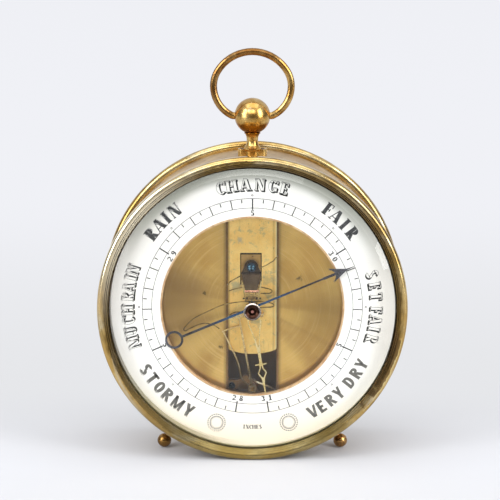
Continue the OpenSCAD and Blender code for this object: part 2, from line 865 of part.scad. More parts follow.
// The strap's outline: straight sides, and a bulging lower edge that runs smoothly into round corners
module strap_outline() {
    half = strap_w / 2;
    r = strap_corner_r;
    bulge_r = (half ^ 2 + strap_bulge ^ 2) / (2 * strap_bulge);
    bulge_z = strap_bottom + bulge_r;
    corner_z = bulge_z - sqrt((bulge_r - r) ^ 2 - (half - r) ^ 2);
    meet_x = (half - r) * bulge_r / (bulge_r - r) - 0.35;
    union() {
        translate([-half, corner_z]) square([strap_w, strap_top - corner_z]);
        intersection() {
            translate([0, bulge_z]) circle(bulge_r, $fn = 128);
            translate([-meet_x, strap_bottom]) square([2 * meet_x, corner_z + 1 - strap_bottom]);
        }
        for (x = [-1, 1]) translate([x * (half - r), corner_z]) circle(r);
    }
}

module bridge_strap() {
    color("#d9ae5c") union() {
        difference() {
            plate(strap_front, strap_back) difference() {
                strap_outline();
                translate([window_x[0], window_z[0]])
                    square([window_x[1] - window_x[0], window_z[1] - window_z[0]]);
                circle(arbor_r + running);
                for (x = [-1, 1]) translate([x * strap_post.x, strap_post.y]) circle(screw_r + running);
            }
            for (x = [-1, 1])
                pin(strap_front + blind_skin, strap_back + 1, cock_rivet_r + seat, x * cock_post.x, cock_post.y);
        }
        for (x = [-1, 1]) plate(strap_back, plate_front, x * strap_post.x, strap_post.y) difference() {
            circle(strap_post_r);
            circle(screw_r + running);
        }
    }
}

module strap_screws() {
    color("#6b5a3a") for (x = [-1, 1])
        screw(strap_front - screw_head_h, plate_back - strap_front, screw_head_r - 0.3, screw_head_h, screw_r,
            x * strap_post.x, strap_post.y, 25 * x);
}

module arbor_cock() {
    half_w = slot_w / 2 + 7.6;
    half_h = 4;
    color("#a9895a") difference() {
        union() {
            plate(plate_back, plate_back + cock_t)
                translate([-half_w, -half_h]) square([2 * half_w, 2 * half_h]);
            for (x = [-1, 1]) {
                pin(strap_back, plate_back + cock_t / 2, cock_post_r, x * cock_post.x, cock_post.y);
                pin(strap_front + blind_skin, strap_back + 1, cock_rivet_r, x * cock_post.x, cock_post.y);
            }
        }
        pin(plate_back - 1, plate_back + cock_t + 1, arbor_r + running);
        for (x = [-1, 1]) pin(plate_back - 1, plate_back + cock_t + 1, screw_r + running, x * cock_screw_x, 0);
    }
}

module sector_cock() {
    foot_top = sector_z + 4;
    foot_x = [-slot_w / 2 - 12.6, -slot_w / 2 - 2.2];
    arm_x = (foot_x[0] + foot_x[1]) / 2;
    foot_bottom = sector_z - 2;
    cock_back = cock_front + cock_t;
    lip_front = crank_front + 0.6;
    lip_x = [-slot_w / 2 + 0.4, sector_x - norm(crank_pin) - crank_eye_r - pass];
    lip_wall = 1.3;
    lip_t = 0.6;
    color("#8f7342") difference() {
        union() {
            plate(cock_front, cock_back) union() {
                translate([arm_x, sector_z - 2.4]) square([sector_x - arm_x, 4.8]);
                translate([sector_x, sector_z]) circle(2.4);
                translate([foot_x[0], foot_bottom]) square([foot_x[1] - foot_x[0], foot_top - foot_bottom]);
            }
            plate(plate_back, cock_front) translate([foot_x[0], foot_bottom + 1.2])
                square([foot_x[1] - foot_x[0], foot_top - foot_bottom - 1.2]);
            plate(lip_front, cock_front) {
                translate([lip_x[1] - lip_wall, sector_z - 2.4]) square([lip_wall, 4.8]);
                translate([lip_x[0], sector_z + 2.4 - lip_t]) square([lip_x[1] - lip_x[0], lip_t]);
            }
        }
        pin(cock_front - 1, cock_back + 1, sector_arbor_r + running, sector_x, sector_z);
        pin(cock_front - 1, cock_back + 1, screw_r + running, stop_screw_at.x, stop_screw_at.y);
        for (p = sector_cock_screws) pin(plate_back - 1, cock_back + 1, screw_r + running, p.x, p.y);
    }
}

module cock_screws() {
    color("#6b5a3a") {
        for (x = [-1, 1])
            rear_screw(plate_back + cock_t + screw_head_h, cock_t + plate_t - blind_skin, screw_head_r,
                screw_head_h, screw_r, x * cock_screw_x, 0, 40 * x);
        for (p = sector_cock_screws)
            rear_screw(cock_front + cock_t + screw_head_h, cock_front + cock_t - plate_front - blind_skin,
                screw_head_r, screw_head_h, screw_r, p.x, p.y, 15);
    }
}

module stop_screw() {
    color("#27384a") screw(cock_front - screw_head_h, cock_t, screw_head_r - 0.4, screw_head_h, screw_r,
        stop_screw_at.x, stop_screw_at.y, 10);
}

module clamp_bar() {
    bar_x = [window_x[0] - 1.3, window_x[1] + 1.6];
    bar_z = [window_z[0] - 1.7, column_z[1] - 0.6];
    color("#b08d55") difference() {
        plate(bar_front, bar_back) difference() {
            translate([bar_x[0], bar_z[0]]) square([bar_x[1] - bar_x[0], bar_z[1] - bar_z[0]]);
            translate(leaf_screw_at) circle(leaf_screw_r + running);
            translate([0.2, 23.6]) circle(0.4);
        }
    }
}

module clamp_leaf() {
    mid_x = leaf_screw_at.x;
    top_z = leaf_screw_at.y + leaf_round_r;
    half = leaf_fold_w / 2;
    drop = leaf_fold_z - leaf_tip_z;
    slope = (leaf_depth - leaf_tip_depth) / drop;
    slant_t = leaf_t * sqrt(1 + slope ^ 2);
    low_z = leaf_tip_z - 1;
    low_depth = leaf_tip_depth - slope;
    color("#54483f") difference() {
        intersection() {
            plate(low_depth - 1, bar_front) polygon(concat(
                arc_points(leaf_screw_at, leaf_round_r, -90, 90, 24),
                [
                    [mid_x + half, leaf_fold_z],
                    [mid_x + leaf_tip_w / 2, leaf_tip_z],
                    [mid_x - leaf_tip_w / 2, leaf_tip_z],
                    [mid_x - half, leaf_fold_z]
                ]
            ));
            translate([mid_x - half - 1, front_y, axis_z]) rotate([90, 0, 90])
                linear_extrude(leaf_fold_w + 2) polygon([
                    [leaf_depth, top_z + 1],
                    [leaf_depth, leaf_fold_z],
                    [low_depth, low_z],
                    [low_depth + slant_t, low_z],
                    [bar_front, leaf_fold_z - (slant_t - leaf_t) / slope],
                    [bar_front, top_z + 1]
                ]);
        }
        pin(leaf_depth - 1, bar_front + 1, leaf_screw_r + running, leaf_screw_at.x, leaf_screw_at.y);
    }
}

module leaf_screw() {
    head_h = 1.1;
    color("#1e3346") screw(leaf_depth - head_h, leaf_t + bar_back - bar_front, leaf_screw_head_r, head_h,
        leaf_screw_r, leaf_screw_at.x, leaf_screw_at.y, 90);
}

// Outer face of one cheek of the anchor at a height; the cheeks spread upwards
function cheek(side, z) = anchor_low_x[side]
    + (anchor_top_x[side] - anchor_low_x[side]) * (z - anchor_z[0]) / (anchor_z[1] - anchor_z[0]);
function cheek_inside(side, z) = cheek(side, z) + (side == 0 ? anchor_wall : -anchor_wall);

module spring_anchor() {
    back_in = anchor_back - anchor_plate_t;
    notch_front = spring_depth - spring_wire_r - 0.15;
    notch_half = 0.45;
    lap = anchor_wall / 2;
    color("#c8a765") difference() {
        union() {
            plate(back_in, anchor_back) polygon([
                [cheek(0, anchor_plate_top) + lap, anchor_plate_top],
                [cheek(1, anchor_plate_top) - lap, anchor_plate_top],
                [cheek(1, anchor_z[0]) - lap, anchor_z[0] + 0.2],
                [cheek(0, anchor_z[0]) + lap, anchor_z[0] + 0.2]
            ]);
            for (side = [0, 1]) plate(anchor_front, anchor_back) polygon([
                [cheek(side, anchor_z[1]), anchor_z[1]],
                [cheek_inside(side, anchor_z[1]), anchor_z[1]],
                [cheek_inside(side, anchor_z[0]), anchor_z[0]],
                [cheek(side, anchor_z[0]), anchor_z[0]]
            ]);
        }
        plate(notch_front, anchor_back, 0, spring_cross_z) square([20, 2 * notch_half], center = true);
        for (side = [0, 1]) anchor_pin(side, seat);
    }
}

module copper_bar() {
    low = copper_bar_z - copper_bar_r;
    left = cheek_inside(0, low);
    color("#d99a78") translate([left, front_y + anchor_front + copper_bar_r, axis_z + copper_bar_z])
        rotate([0, 90, 0]) cylinder(h = cheek_inside(1, low) - left, r = copper_bar_r);
}

// A short pin through one cheek of the anchor
module anchor_pin(side, extra) {
    middle = cheek(side, anchor_pin_z);
    from = side == 0 ? middle - anchor_pin_out : middle - anchor_wall - anchor_pin_in;
    translate([from, front_y + anchor_front + 0.6, axis_z + anchor_pin_z]) rotate([0, 90, 0])
        cylinder(h = anchor_pin_out + anchor_wall + anchor_pin_in, r = anchor_pin_r + extra);
}

module anchor_pins() {
    color("#33291f") for (side = [0, 1]) anchor_pin(side, 0);
}

// A smooth curve through points chosen by hand
function curve_point(a, b, c, d, t) =
    ((2 * b) + (c - a) * t + (2 * a - 5 * b + 4 * c - d) * t ^ 2 + (3 * b - a - 3 * c + d) * t ^ 3) / 2;
function smooth(p, steps) = concat(
    [for (i = [0:len(p) - 2], j = [0:steps - 1])
        curve_point(p[max(i - 1, 0)], p[i], p[i + 1], p[min(i + 2, len(p) - 1)], j / steps)],
    [p[len(p) - 1]]);

// A wire of round section along points in one plane at a depth
module flat_wire(points, r, sides, depth) {
    last = len(points) - 1;
    across = [for (i = [0:last])
        let (d = points[min(i + 1, last)] - points[max(i - 1, 0)])
            [-d.y, d.x] / norm(d)];
    rings = [for (i = [0:last], k = [0:sides - 1])
        let (a = 360 * k / sides, p = points[i] + across[i] * r * cos(a))
            [p.x, r * sin(a), p.y]];
    walls = [for (i = [0:last - 1], k = [0:sides - 1]) let (n = (k + 1) % sides, a = i * sides, b = a + sides)
        each [[a + k, a + n, b + n], [a + k, b + n, b + k]]];
    first_cap = [for (k = [1:sides - 2]) [0, k + 1, k]];
    end = last * sides;
    last_cap = [for (k = [1:sides - 2]) [end, end + k, end + k + 1]];
    translate([0, front_y + depth, axis_z])
        polyhedron(points = rings, faces = concat(walls, first_cap, last_cap));
}

// The wires' routes, right and up from the drum axis
hairpin_route = [
    [-11.2, 7.2], [-8.8, 8.1], [-6.6, 8.6], [-4.4, spring_cross_z], [0, spring_cross_z], [3.9, spring_cross_z],
    [6.5, 8.6], [8.4, 8.1], [9.3, 7.2], [8.4, 6.3], [6.5, 6.1], [3.85, 6.1]
];
take_up_route = [
    [-11.1, -5], [-10.2, -3.9], [-8.2, -3], [-5.4, -2.7], [0, -1.8], [4.1, -0.8], [7, -0.6], [9.3, -0.4],
    [10.2, 0.4], [9.3, 1.3], [6.5, 1.9], [2.9, 2.2], [-3.3, 2.2], [-7, 1.9], [-11.8, 1.1], [-15.2, 0.1],
    [-18.3, -1.3], [-22, -3.1], [-26.6, -5.4], [-29.4, -7.6], [-31.6, -9.9], [-32.4, -11.3], [-31.6, -12.1],
    [-29.3, -10.8], [-24.7, -8.8], [-22, -8.4], [-18.3, -9.2], [-15.6, -11]
];
curve_steps = 3;
wire_sides = 6;

// The least gap between two stretches of one wire, leaving out points next to each other along it
function least_gap(points, r, apart) = let (last = len(points) - 1)
    min([for (i = [0:last - apart], j = [i + apart:last]) norm(points[i] - points[j])]) - 2 * r;
echo(least_gap_of_take_up_spring = least_gap(smooth(take_up_route, curve_steps), spring_wire_r, 6));
echo(least_gap_of_hairpin_spring = least_gap(smooth(hairpin_route, curve_steps), spring_wire_r, 6));

module hairpin_spring() {
    color("#9a8048") flat_wire(smooth(hairpin_route, curve_steps), spring_wire_r, wire_sides, spring_depth);
}

module take_up_spring() {
    color("#9a8048") flat_wire(smooth(take_up_route, curve_steps), spring_wire_r, wire_sides, spring_depth);
}

module tube_column() {
    color("#9c7f4c") difference() {
        union() {
            plate(bar_back, back_plate_front) translate([-column_half_w, column_z[0]])
                square([2 * column_half_w, column_z[1] - column_z[0]]);
            plate(saddle_front, saddle_back) intersection() {
                translate([-column_half_w, column_z[0]]) square([2 * column_half_w, 12]);
                circle(tube_in_r - tube_seat - seat);
            }
        }
        for (x = [-1, 1])
            pin(back_plate_front - pillar_thread, back_plate_front + 1, screw_r + running,
                x * column_screw_x, column_screw_z);
        for (d = clamp_screw_depths) translate([0, front_y + d, axis_z + column_z[0] + 2])
            cylinder(h = 20, r = clamp_screw_r + running);
    }
}

module tube_clamp() {
    color("#9c7f4c") difference() {
        plate(saddle_front, saddle_back) difference() {
            intersection() {
                translate([-clamp_half_w, tube_in_r - 3]) square([2 * clamp_half_w, clamp_t + tube_t + 5]);
                circle(tube_out_r + clamp_t);
            }
            circle(tube_in_r - tube_seat);
        }
        plate(tube_front - tube_seat, tube_back + tube_seat) circle(tube_out_r + tube_seat);
        for (d = clamp_screw_depths) translate([0, front_y + d, axis_z])
            cylinder(h = 80, r = clamp_screw_r + running);
    }
}

module clamp_screws() {
    top = tube_out_r + clamp_t;
    head_h = 0.8;
    length = 9;
    color("#6b5a3a") for (d = clamp_screw_depths) translate([0, front_y + d, axis_z + top]) difference() {
        union() {
            cylinder(h = head_h, r = clamp_screw_head_r);
            translate([0, 0, -length]) cylinder(h = length, r = clamp_screw_r);
        }
        translate([0, 0, head_h]) cube([3, 0.4, 0.6], center = true);
    }
}

// A flat tube's section, round at both ends, about the middle of its depth
module tube_section(t, w) {
    union() {
        square([t, w - t], center = true);
        for (side = [-1, 1]) translate([0, side * (w - t) / 2]) circle(t / 2);
    }
}

module bourdon_tube() {
    color("#c29a52") translate([0, front_y + (tube_front + tube_back) / 2, axis_z]) rotate([-90, 0, 0])
        rotate(90 + tube_end_angle) rotate_extrude(angle = 360 - 2 * tube_end_angle) translate([tube_r, 0])
            difference() {
                tube_section(tube_t, tube_w);
                tube_section(tube_t - 2 * tube_wall, tube_w - 2 * tube_wall);
            }
}

// The block that closes one end of the tube and carries the pin of its link
module tube_end(side) {
    post_back = tube_front;
    out = tube_out_r + 0.5;
    union() {
        plate(tube_front - 0.5, tube_back + 0.5) difference() {
            intersection() {
                circle(out);
                polygon([
                    [0, 0],
                    at_angle(2 * out, 180 - side * tube_end_angle),
                    at_angle(2 * out, 180 - side * (tube_end_angle - end_block_angle))
                ]);
            }
            circle(tube_in_r - 0.5);
        }
        pin(link_back + 0.4, post_back, post_r, side * tube_pin.x, tube_pin.y);
        pin(plate_back + 0.25, post_back, tube_pin_r, side * tube_pin.x, tube_pin.y);
    }
}

module tube_end_left() {
    color("#a5834a") tube_end(-1);
}

module tube_end_right() {
    color("#a5834a") tube_end(1);
}

// A flat strip of even width along a line of points
function strip_side(points, off) = let (last = len(points) - 1) [for (i = [0:last])
    let (d = points[min(i + 1, last)] - points[max(i - 1, 0)]) points[i] + off * [-d.y, d.x] / norm(d)];
module strip(points, w) {
    back = strip_side(points, -w / 2);
    polygon(concat(strip_side(points, w / 2), [for (i = [len(back) - 1:-1:0]) back[i]]));
}

module sector() {
    tooth_step = 360 / sector_teeth;
    half_teeth = floor(sector_half_angle / tooth_step);
    brace_r = sector_rim_r - brace_inset;
    arm = -5.4;
    brace = -21.3;
    arm_w = 0.9;
    wire_w = 0.6;
    line_r = brace_r - wire_w / 2;
    brace_line = [
        at_angle(line_r, brace), at_angle(17, brace - 0.3), at_angle(12.5, brace - 3.5),
        at_angle(7, brace - 21), [0, 0]
    ];
    color("#c4a368") difference() {
        union() {
            plate(sector_front, sector_back, sector_x, sector_z) rotate(-sector_lean)
                gear_outline(sector_teeth, -half_teeth, half_teeth, sector_rim_r);
            plate(sector_front, sector_back, sector_x, sector_z) rotate(-sector_lean) union() {
                circle(sector_hub_r);
                rotate(-arm) translate([-arm_w / 2, 0]) square([arm_w, sector_rim_r + 0.6]);
                strip(brace_line, wire_w);
                intersection() {
                    difference() {
                        circle(brace_r);
                        circle(brace_r - wire_w);
                    }
                    polygon([[0, 0], at_angle(2 * brace_r, brace - 1), at_angle(2 * brace_r, arm)]);
                }
            }
        }
        pin(sector_front - 1, sector_back + 1, sector_arbor_r + seat, sector_x, sector_z);
    }
}

module sector_arbor() {
    color("#9aa0a6") turned(sector_x, sector_z) polygon([
        [0, sector_front - 0.2],
        [sector_arbor_r, sector_front - 0.2],
        [sector_arbor_r, sector_back],
        [sector_arbor_r + 0.5, sector_back],
        [sector_arbor_r + 0.5, crank_front],
        [sector_arbor_r, crank_front],
        [sector_arbor_r, cock_front + cock_t + 0.3],
        [0, cock_front + cock_t + 0.3]
    ]);
}

module double_crank() {
    arm_w = 1.6;
    color("#b39460") union() {
        plate(crank_front, crank_back, sector_x, sector_z) difference() {
            union() {
                circle(sector_arbor_r + 1.2);
                for (end = [1, -1]) {
                    translate(end * crank_pin) circle(crank_eye_r);
                    rotate(atan2(-crank_pin.x, crank_pin.y)) translate([-arm_w / 2, end > 0 ? 0 : -norm(crank_pin)])
                        square([arm_w, norm(crank_pin)]);
                }
            }
            circle(sector_arbor_r + seat);
        }
        for (end = [1, -1])
            pin(crank_back - 0.2, link_back + 0.2, crank_pin_r, sector_x + end * crank_pin.x,
                sector_z + end * crank_pin.y);
    }
}

// A link from a crank pin to the pin of a tube end, with a long eye at the tube's end
module link(start, finish) {
    length = norm(finish - start);
    turn = atan2(finish.y - start.y, finish.x - start.x);
    eye_r = crank_pin_r + running + link_wall;
    slot_r = tube_pin_r + link_side;
    plate(link_front, link_back, start.x, start.y) rotate(turn) difference() {
        union() {
            circle(eye_r);
            translate([0, -link_shank_w / 2]) square([length - link_play, link_shank_w]);
            for (x = [-1, 1]) translate([length + x * link_play, 0]) circle(slot_r + link_wall);
            translate([length - link_play, -slot_r - link_wall]) square([2 * link_play, 2 * (slot_r + link_wall)]);
        }
        circle(crank_pin_r + running);
        for (x = [-1, 1]) translate([length + x * link_play, 0]) circle(slot_r);
        translate([length - link_play, -slot_r]) square([2 * link_play, 2 * slot_r]);
    }
}

module link_left() {
    color("#c9b487") link([sector_x, sector_z] - crank_pin, [-tube_pin.x, tube_pin.y]);
}

module link_right() {
    color("#c9b487") link([sector_x, sector_z] + crank_pin, tube_pin);
}

module adjusting_screw() {
    color("#6b5a3a") difference() {
        union() {
            pin(bar_back + pass, flange_front + 0.2, adjuster_r, 0, adjuster_z);
            pin(flange_front + 0.2, flange_front + 0.2 + adjuster_head_h, adjuster_head_r, 0, adjuster_z);
        }
        plate(flange_front + 0.2 + adjuster_head_h - slot_cut, flange_front + 2, 0, adjuster_z)
            rotate(35) square([3 * adjuster_head_r, 0.8], center = true);
    }
}

module adjusting_bush() {
    bore = adjuster_r + running;
    color("#a58a55") turned(0, adjuster_z) {
        translate([bore, back_plate_front]) square([bush_r - bore, back_plate_t]);
        translate([bore, back_plate_front - bush_flange_t]) square([bush_flange_r - bore, bush_flange_t]);
    }
}

case_drum();
front_bezel();
glass();
glass_bush();
spacer_ring();
back_rim();
back_plate();
rim_screws();
foot_left();
foot_right();
foot_nuts();
pendant();
pendant_screws();
carrying_ring();
dial();
aperture_ring();
pointer();
pointer_collet();
pointer_arbor();
set_hand();
set_hand_knob();
set_hand_nut();
movement_plate();
movement_pillars();
pillar_screws();
bridge_strap();
strap_screws();
arbor_cock();
sector_cock();
cock_screws();
stop_screw();
clamp_bar();
clamp_leaf();
leaf_screw();
spring_anchor();
copper_bar();
anchor_pins();
hairpin_spring();
take_up_spring();
tube_column();
tube_clamp();
clamp_screws();
bourdon_tube();
tube_end_left();
tube_end_right();
sector();
sector_arbor();
double_crank();
link_left();
link_right();
adjusting_screw();
adjusting_bush();
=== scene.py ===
"""Looks of the desk barometer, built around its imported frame.

Sizes and places on the object are in mm, as in the part's source, and become metres where a mesh is made.
x runs to the right, y into the case and z up from the ground. On its front, heights are given from the
drum axis. The room, the lamps and the camera's distance are in metres.
"""

import json
import math

import bmesh
import bpy
from mathutils import Euler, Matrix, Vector


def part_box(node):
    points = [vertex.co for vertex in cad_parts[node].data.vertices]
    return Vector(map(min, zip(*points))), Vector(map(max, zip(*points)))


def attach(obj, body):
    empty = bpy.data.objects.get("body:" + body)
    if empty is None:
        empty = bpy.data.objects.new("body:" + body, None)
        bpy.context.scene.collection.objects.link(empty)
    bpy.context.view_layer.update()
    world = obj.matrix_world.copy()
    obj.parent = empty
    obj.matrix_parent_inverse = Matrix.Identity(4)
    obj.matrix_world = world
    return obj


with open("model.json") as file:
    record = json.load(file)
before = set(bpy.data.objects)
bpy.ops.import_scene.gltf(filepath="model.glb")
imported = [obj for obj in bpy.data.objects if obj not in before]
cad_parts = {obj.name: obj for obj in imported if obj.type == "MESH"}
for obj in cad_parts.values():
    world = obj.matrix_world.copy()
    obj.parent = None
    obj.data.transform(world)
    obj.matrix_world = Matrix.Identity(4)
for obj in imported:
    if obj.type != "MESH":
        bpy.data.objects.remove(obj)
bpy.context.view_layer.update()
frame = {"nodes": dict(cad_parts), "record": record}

MM = 0.001
JOINTS = {joint["name"]: joint for joint in frame["record"]["behaviour"]["joints"]}
# the set hand turns on the drum axis, and its joint stands in the bezel's widest plane
FRONT_Y, AXIS_Z = [round(v / MM, 3) for v in JOINTS["set_hand_turn"]["pos_m"][1:]]
DRUM_IN_R = 67.6
BEZEL_SLOPE_R = (69.0, 70.4)
BEZEL_CREST_R = 70.9
GLASS_BEVEL_R = 61.0
# radius out to which the movement plate shows inside the dial
PLATE_EDGE_R = 44.5
# angle of the pointer at rest
POINTER_REST = 67.2
KNOB_RIM_R = 3.55
KNOB_PIN_R = 1.0
STRAP_HALF_W = 11.4
LEAF_X = -0.5
LEAF_UP = 12.5
LEAF_SCREW_UP = 18.6
SLOT_HALF_W = 12.4
SLOT_HEIGHTS = (-50.0, 45.5)
WINDOW_SIDES = (-5.25, 3.95)
WINDOW_TOP = 24.25


def at_angle(r, degrees):
    """A point on a circle round the drum axis, by its angle clockwise from the top, in mm."""
    a = math.radians(degrees)
    return r * math.sin(a), r * math.cos(a)


def front_of(node):
    """How far forward a node of the frame reaches, as its y in mm."""
    return round(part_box(node)[0][1] / MM, 3)


def add_object(name, data):
    obj = bpy.data.objects.new(name, data)
    bpy.context.scene.collection.objects.link(obj)
    return obj


# Materials

# most values of a noise texture lie between these
NOISE_SPAN = (0.3, 0.7)
MATERIALS = {}


def rgb(code):
    """A colour as it is seen on a screen, as the linear values that a shader takes."""
    values = [int(code[i:i + 2], 16) / 255 for i in (0, 2, 4)]
    linear = [v / 12.92 if v <= 0.04045 else ((v + 0.055) / 1.055) ** 2.4 for v in values]
    return (*linear, 1.0)


class Net:
    """A node material made in code, with a short method for each kind of node that it uses."""

    def __init__(self, name, **values):
        self.material = bpy.data.materials.new(name)
        self.material.use_nodes = True
        self.tree = self.material.node_tree
        self.tree.nodes.clear()
        self.out = self.node("OutputMaterial")
        self.shader = self.node("BsdfPrincipled")
        self.join(self.shader.outputs[0], self.out.inputs["Surface"])
        for key, value in values.items():
            self.shader.inputs[key.replace("_", " ")].default_value = value
        self.place = self.scaled(self.node("TexCoord").outputs["Object"], 1 / MM)
        self.x, self.y, self.z = self.split(self.place)

    def node(self, kind):
        return self.tree.nodes.new("ShaderNode" + kind)

    def join(self, a, b):
        self.tree.links.new(a, b)

    def put(self, socket, value):
        if isinstance(value, bpy.types.NodeSocket):
            self.join(value, socket)
        else:
            socket.default_value = value

    def math(self, operation, *values):
        n = self.node("Math")
        n.operation = operation
        for socket, value in zip(n.inputs, values):
            self.put(socket, value)
        return n.outputs[0]

    def times(self, a, b):
        return self.math("MULTIPLY", a, b)

    def plus(self, a, b):
        return self.math("ADD", a, b)

    def scaled(self, v, by):
        n = self.node("VectorMath")
        n.operation = "SCALE"
        self.join(v, n.inputs[0])
        n.inputs["Scale"].default_value = by
        return n.outputs["Vector"]

    def length(self, v):
        n = self.node("VectorMath")
        n.operation = "LENGTH"
        self.join(v, n.inputs[0])
        return n.outputs["Value"]

    def split(self, v):
        n = self.node("SeparateXYZ")
        self.join(v, n.inputs[0])
        return n.outputs[0], n.outputs[1], n.outputs[2]

    def combine(self, x=0.0, y=0.0, z=0.0):
        n = self.node("CombineXYZ")
        for socket, value in zip(n.inputs, (x, y, z)):
            self.put(socket, value)
        return n.outputs[0]

    def noise(self, scale, detail=3.0, roughness=0.55, at=None, distortion=0.0):
        n = self.node("TexNoise")
        n.inputs["Scale"].default_value = scale
        n.inputs["Detail"].default_value = detail
        n.inputs["Roughness"].default_value = roughness
        n.inputs["Distortion"].default_value = distortion
        self.join(at or self.place, n.inputs["Vector"])
        return n.outputs[0]

    def spots(self, scale):
        n = self.node("TexVoronoi")
        n.inputs["Scale"].default_value = scale
        self.join(self.place, n.inputs["Vector"])
        return n.outputs["Distance"]

    def remap(self, value, low, high, to_low=0.0, to_high=1.0, smooth=True):
        n = self.node("MapRange")
        n.interpolation_type = "SMOOTHSTEP" if smooth else "LINEAR"
        self.put(n.inputs["Value"], value)
        for key, v in zip(("From Min", "From Max", "To Min", "To Max"), (low, high, to_low, to_high)):
            n.inputs[key].default_value = v
        return n.outputs[0]

    def spread(self, noise, low, high):
        """Spreads the usual values of a noise over a range."""
        return self.remap(noise, *NOISE_SPAN, low, high)

    def wander(self, by, *noise):
        """A value that wanders up and down by an amount, to make an edge ragged."""
        return self.spread(self.noise(*noise), -by, by)

    def mix(self, factor, a, b):
        n = self.node("Mix")
        n.data_type = "RGBA"
        self.put(n.inputs[0], factor)
        self.put(n.inputs[6], a)
        self.put(n.inputs[7], b)
        return n.outputs[2]

    def bump(self, height, depth, after=None):
        """A bump of a depth in mm, on top of another bump if one is given."""
        n = self.node("Bump")
        n.inputs["Strength"].default_value = 1.0
        n.inputs["Distance"].default_value = depth * MM
        self.put(n.inputs["Height"], height)
        if after:
            self.join(after, n.inputs["Normal"])
        return n.outputs[0]

    def set(self, **sockets):
        for key, value in sockets.items():
            self.put(self.shader.inputs[key.replace("_", " ")], value)

    def tint(self, mask, tone):
        """Lays one more tone over the colour made so far."""
        socket = self.shader.inputs["Base Color"]
        made = socket.links[0].from_socket
        self.join(self.mix(mask, made, rgb(tone)), socket)

    def polar(self, x=0.0, z=AXIS_Z):
        """Radius in mm and angle from the top, about a line along the depth."""
        dx, dz = self.math("SUBTRACT", self.x, x), self.math("SUBTRACT", self.z, z)
        return self.length(self.combine(dx, 0.0, dz)), self.math("ARCTAN2", dx, dz)

    def near(self, x, up, r_in, r_out, strength=1.0, ragged=0.0):
        """A soft round mask about a point of the front, in mm right and up from the drum axis."""
        r = self.polar(x, AXIS_Z + up)[0]
        if ragged:
            r = self.plus(r, self.wander(ragged, 0.9, 4.0, 0.7))
        return self.remap(r, r_in, r_out, strength, 0.0)

    def band(self, value, low, high, soft, strength=1.0):
        """A mask that is full between two values and fades out over a soft edge on either side."""
        rise = self.remap(value, low - soft, low)
        fall = self.remap(value, high, high + soft, 1.0, 0.0)
        return self.times(self.times(rise, fall), strength)

    def height(self):
        """Height over the drum axis."""
        return self.math("SUBTRACT", self.z, AXIS_Z)

    def show_instead(self, mask, other):
        """Shows another shader in place of this one where a mask is 1."""
        both = self.node("MixShader")
        self.join(mask, both.inputs[0])
        self.join(self.shader.outputs[0], both.inputs[1])
        self.join(other.outputs[0], both.inputs[2])
        self.join(both.outputs[0], self.out.inputs["Surface"])


def metal(name, dark, base, light, rough=(0.22, 0.42), patch=0.09, grain=2.6, bump=0.004, dirt=0.35,
          specks=None):
    """Old metal: wide patches, stains, a fine grain and, where specks has a scale, small dark specks."""
    n = Net(name, Metallic=1.0)
    wide = n.noise(patch, 4.0, 0.6, distortion=0.4)
    fine = n.noise(grain, 5.0, 0.65)
    stain = n.remap(n.noise(patch * 2.7, 5.0, 0.7), 0.5, 0.75)
    colour = n.mix(n.remap(wide, 0.35, 0.7), rgb(base), rgb(light))
    colour = n.mix(n.times(stain, dirt), colour, rgb(dark))
    colour = n.mix(n.remap(fine, 0.3, 0.8, 0.0, 0.22), colour, rgb(dark))
    if specks:
        dots = n.math("LESS_THAN", n.spots(specks), 0.16)
        dots = n.times(dots, n.remap(n.noise(specks * 0.7, 2.0), 0.5, 0.62))
        colour = n.mix(n.times(dots, 0.7), colour, rgb(dark))
    both = n.plus(n.times(wide, 0.5), n.times(fine, 0.5))
    n.set(Base_Color=colour, Roughness=n.spread(both, *rough), Normal=n.bump(fine, bump))
    return n


def turned_brass(name, dark, base, light, pale):
    """Turned brass round the drum axis, with fine circular lines and worn lacquer in patches."""
    n = Net(name, Metallic=1.0)
    r, a = n.polar()
    lines = n.noise(1.0, 2.0, 0.5, at=n.combine(n.times(r, 9.0), n.times(n.y, 9.0), 0.0))
    side, up = n.math("SINE", a), n.math("COSINE", a)
    along = n.combine(n.times(side, 5.0), n.times(up, 5.0), n.times(r, 0.35))
    wear = n.noise(0.8, 6.0, 0.62, at=along, distortion=0.5)
    fine = n.noise(2.2, 5.0, 0.6)
    bare = n.remap(n.noise(0.55, 5.0, 0.6, at=along, distortion=0.8), 0.52, 0.64)
    colour = n.mix(n.remap(n.noise(0.06, 3.0), 0.4, 0.65), rgb(base), rgb(light))
    colour = n.mix(n.times(n.remap(wear, 0.48, 0.64), 0.45), colour, rgb(dark))
    colour = n.mix(n.times(bare, 0.6), colour, rgb(pale))
    colour = n.mix(n.remap(lines, 0.5, 0.68, 0.0, 0.22), colour, rgb(dark))
    colour = n.mix(n.remap(fine, 0.45, 0.8, 0.0, 0.3), colour, rgb(dark))
    both = n.plus(n.times(wear, 0.6), n.times(lines, 0.4))
    n.set(Base_Color=colour, Roughness=n.spread(both, 0.13, 0.28),
          Normal=n.bump(lines, 0.004, after=n.bump(fine, 0.003)))
    return n


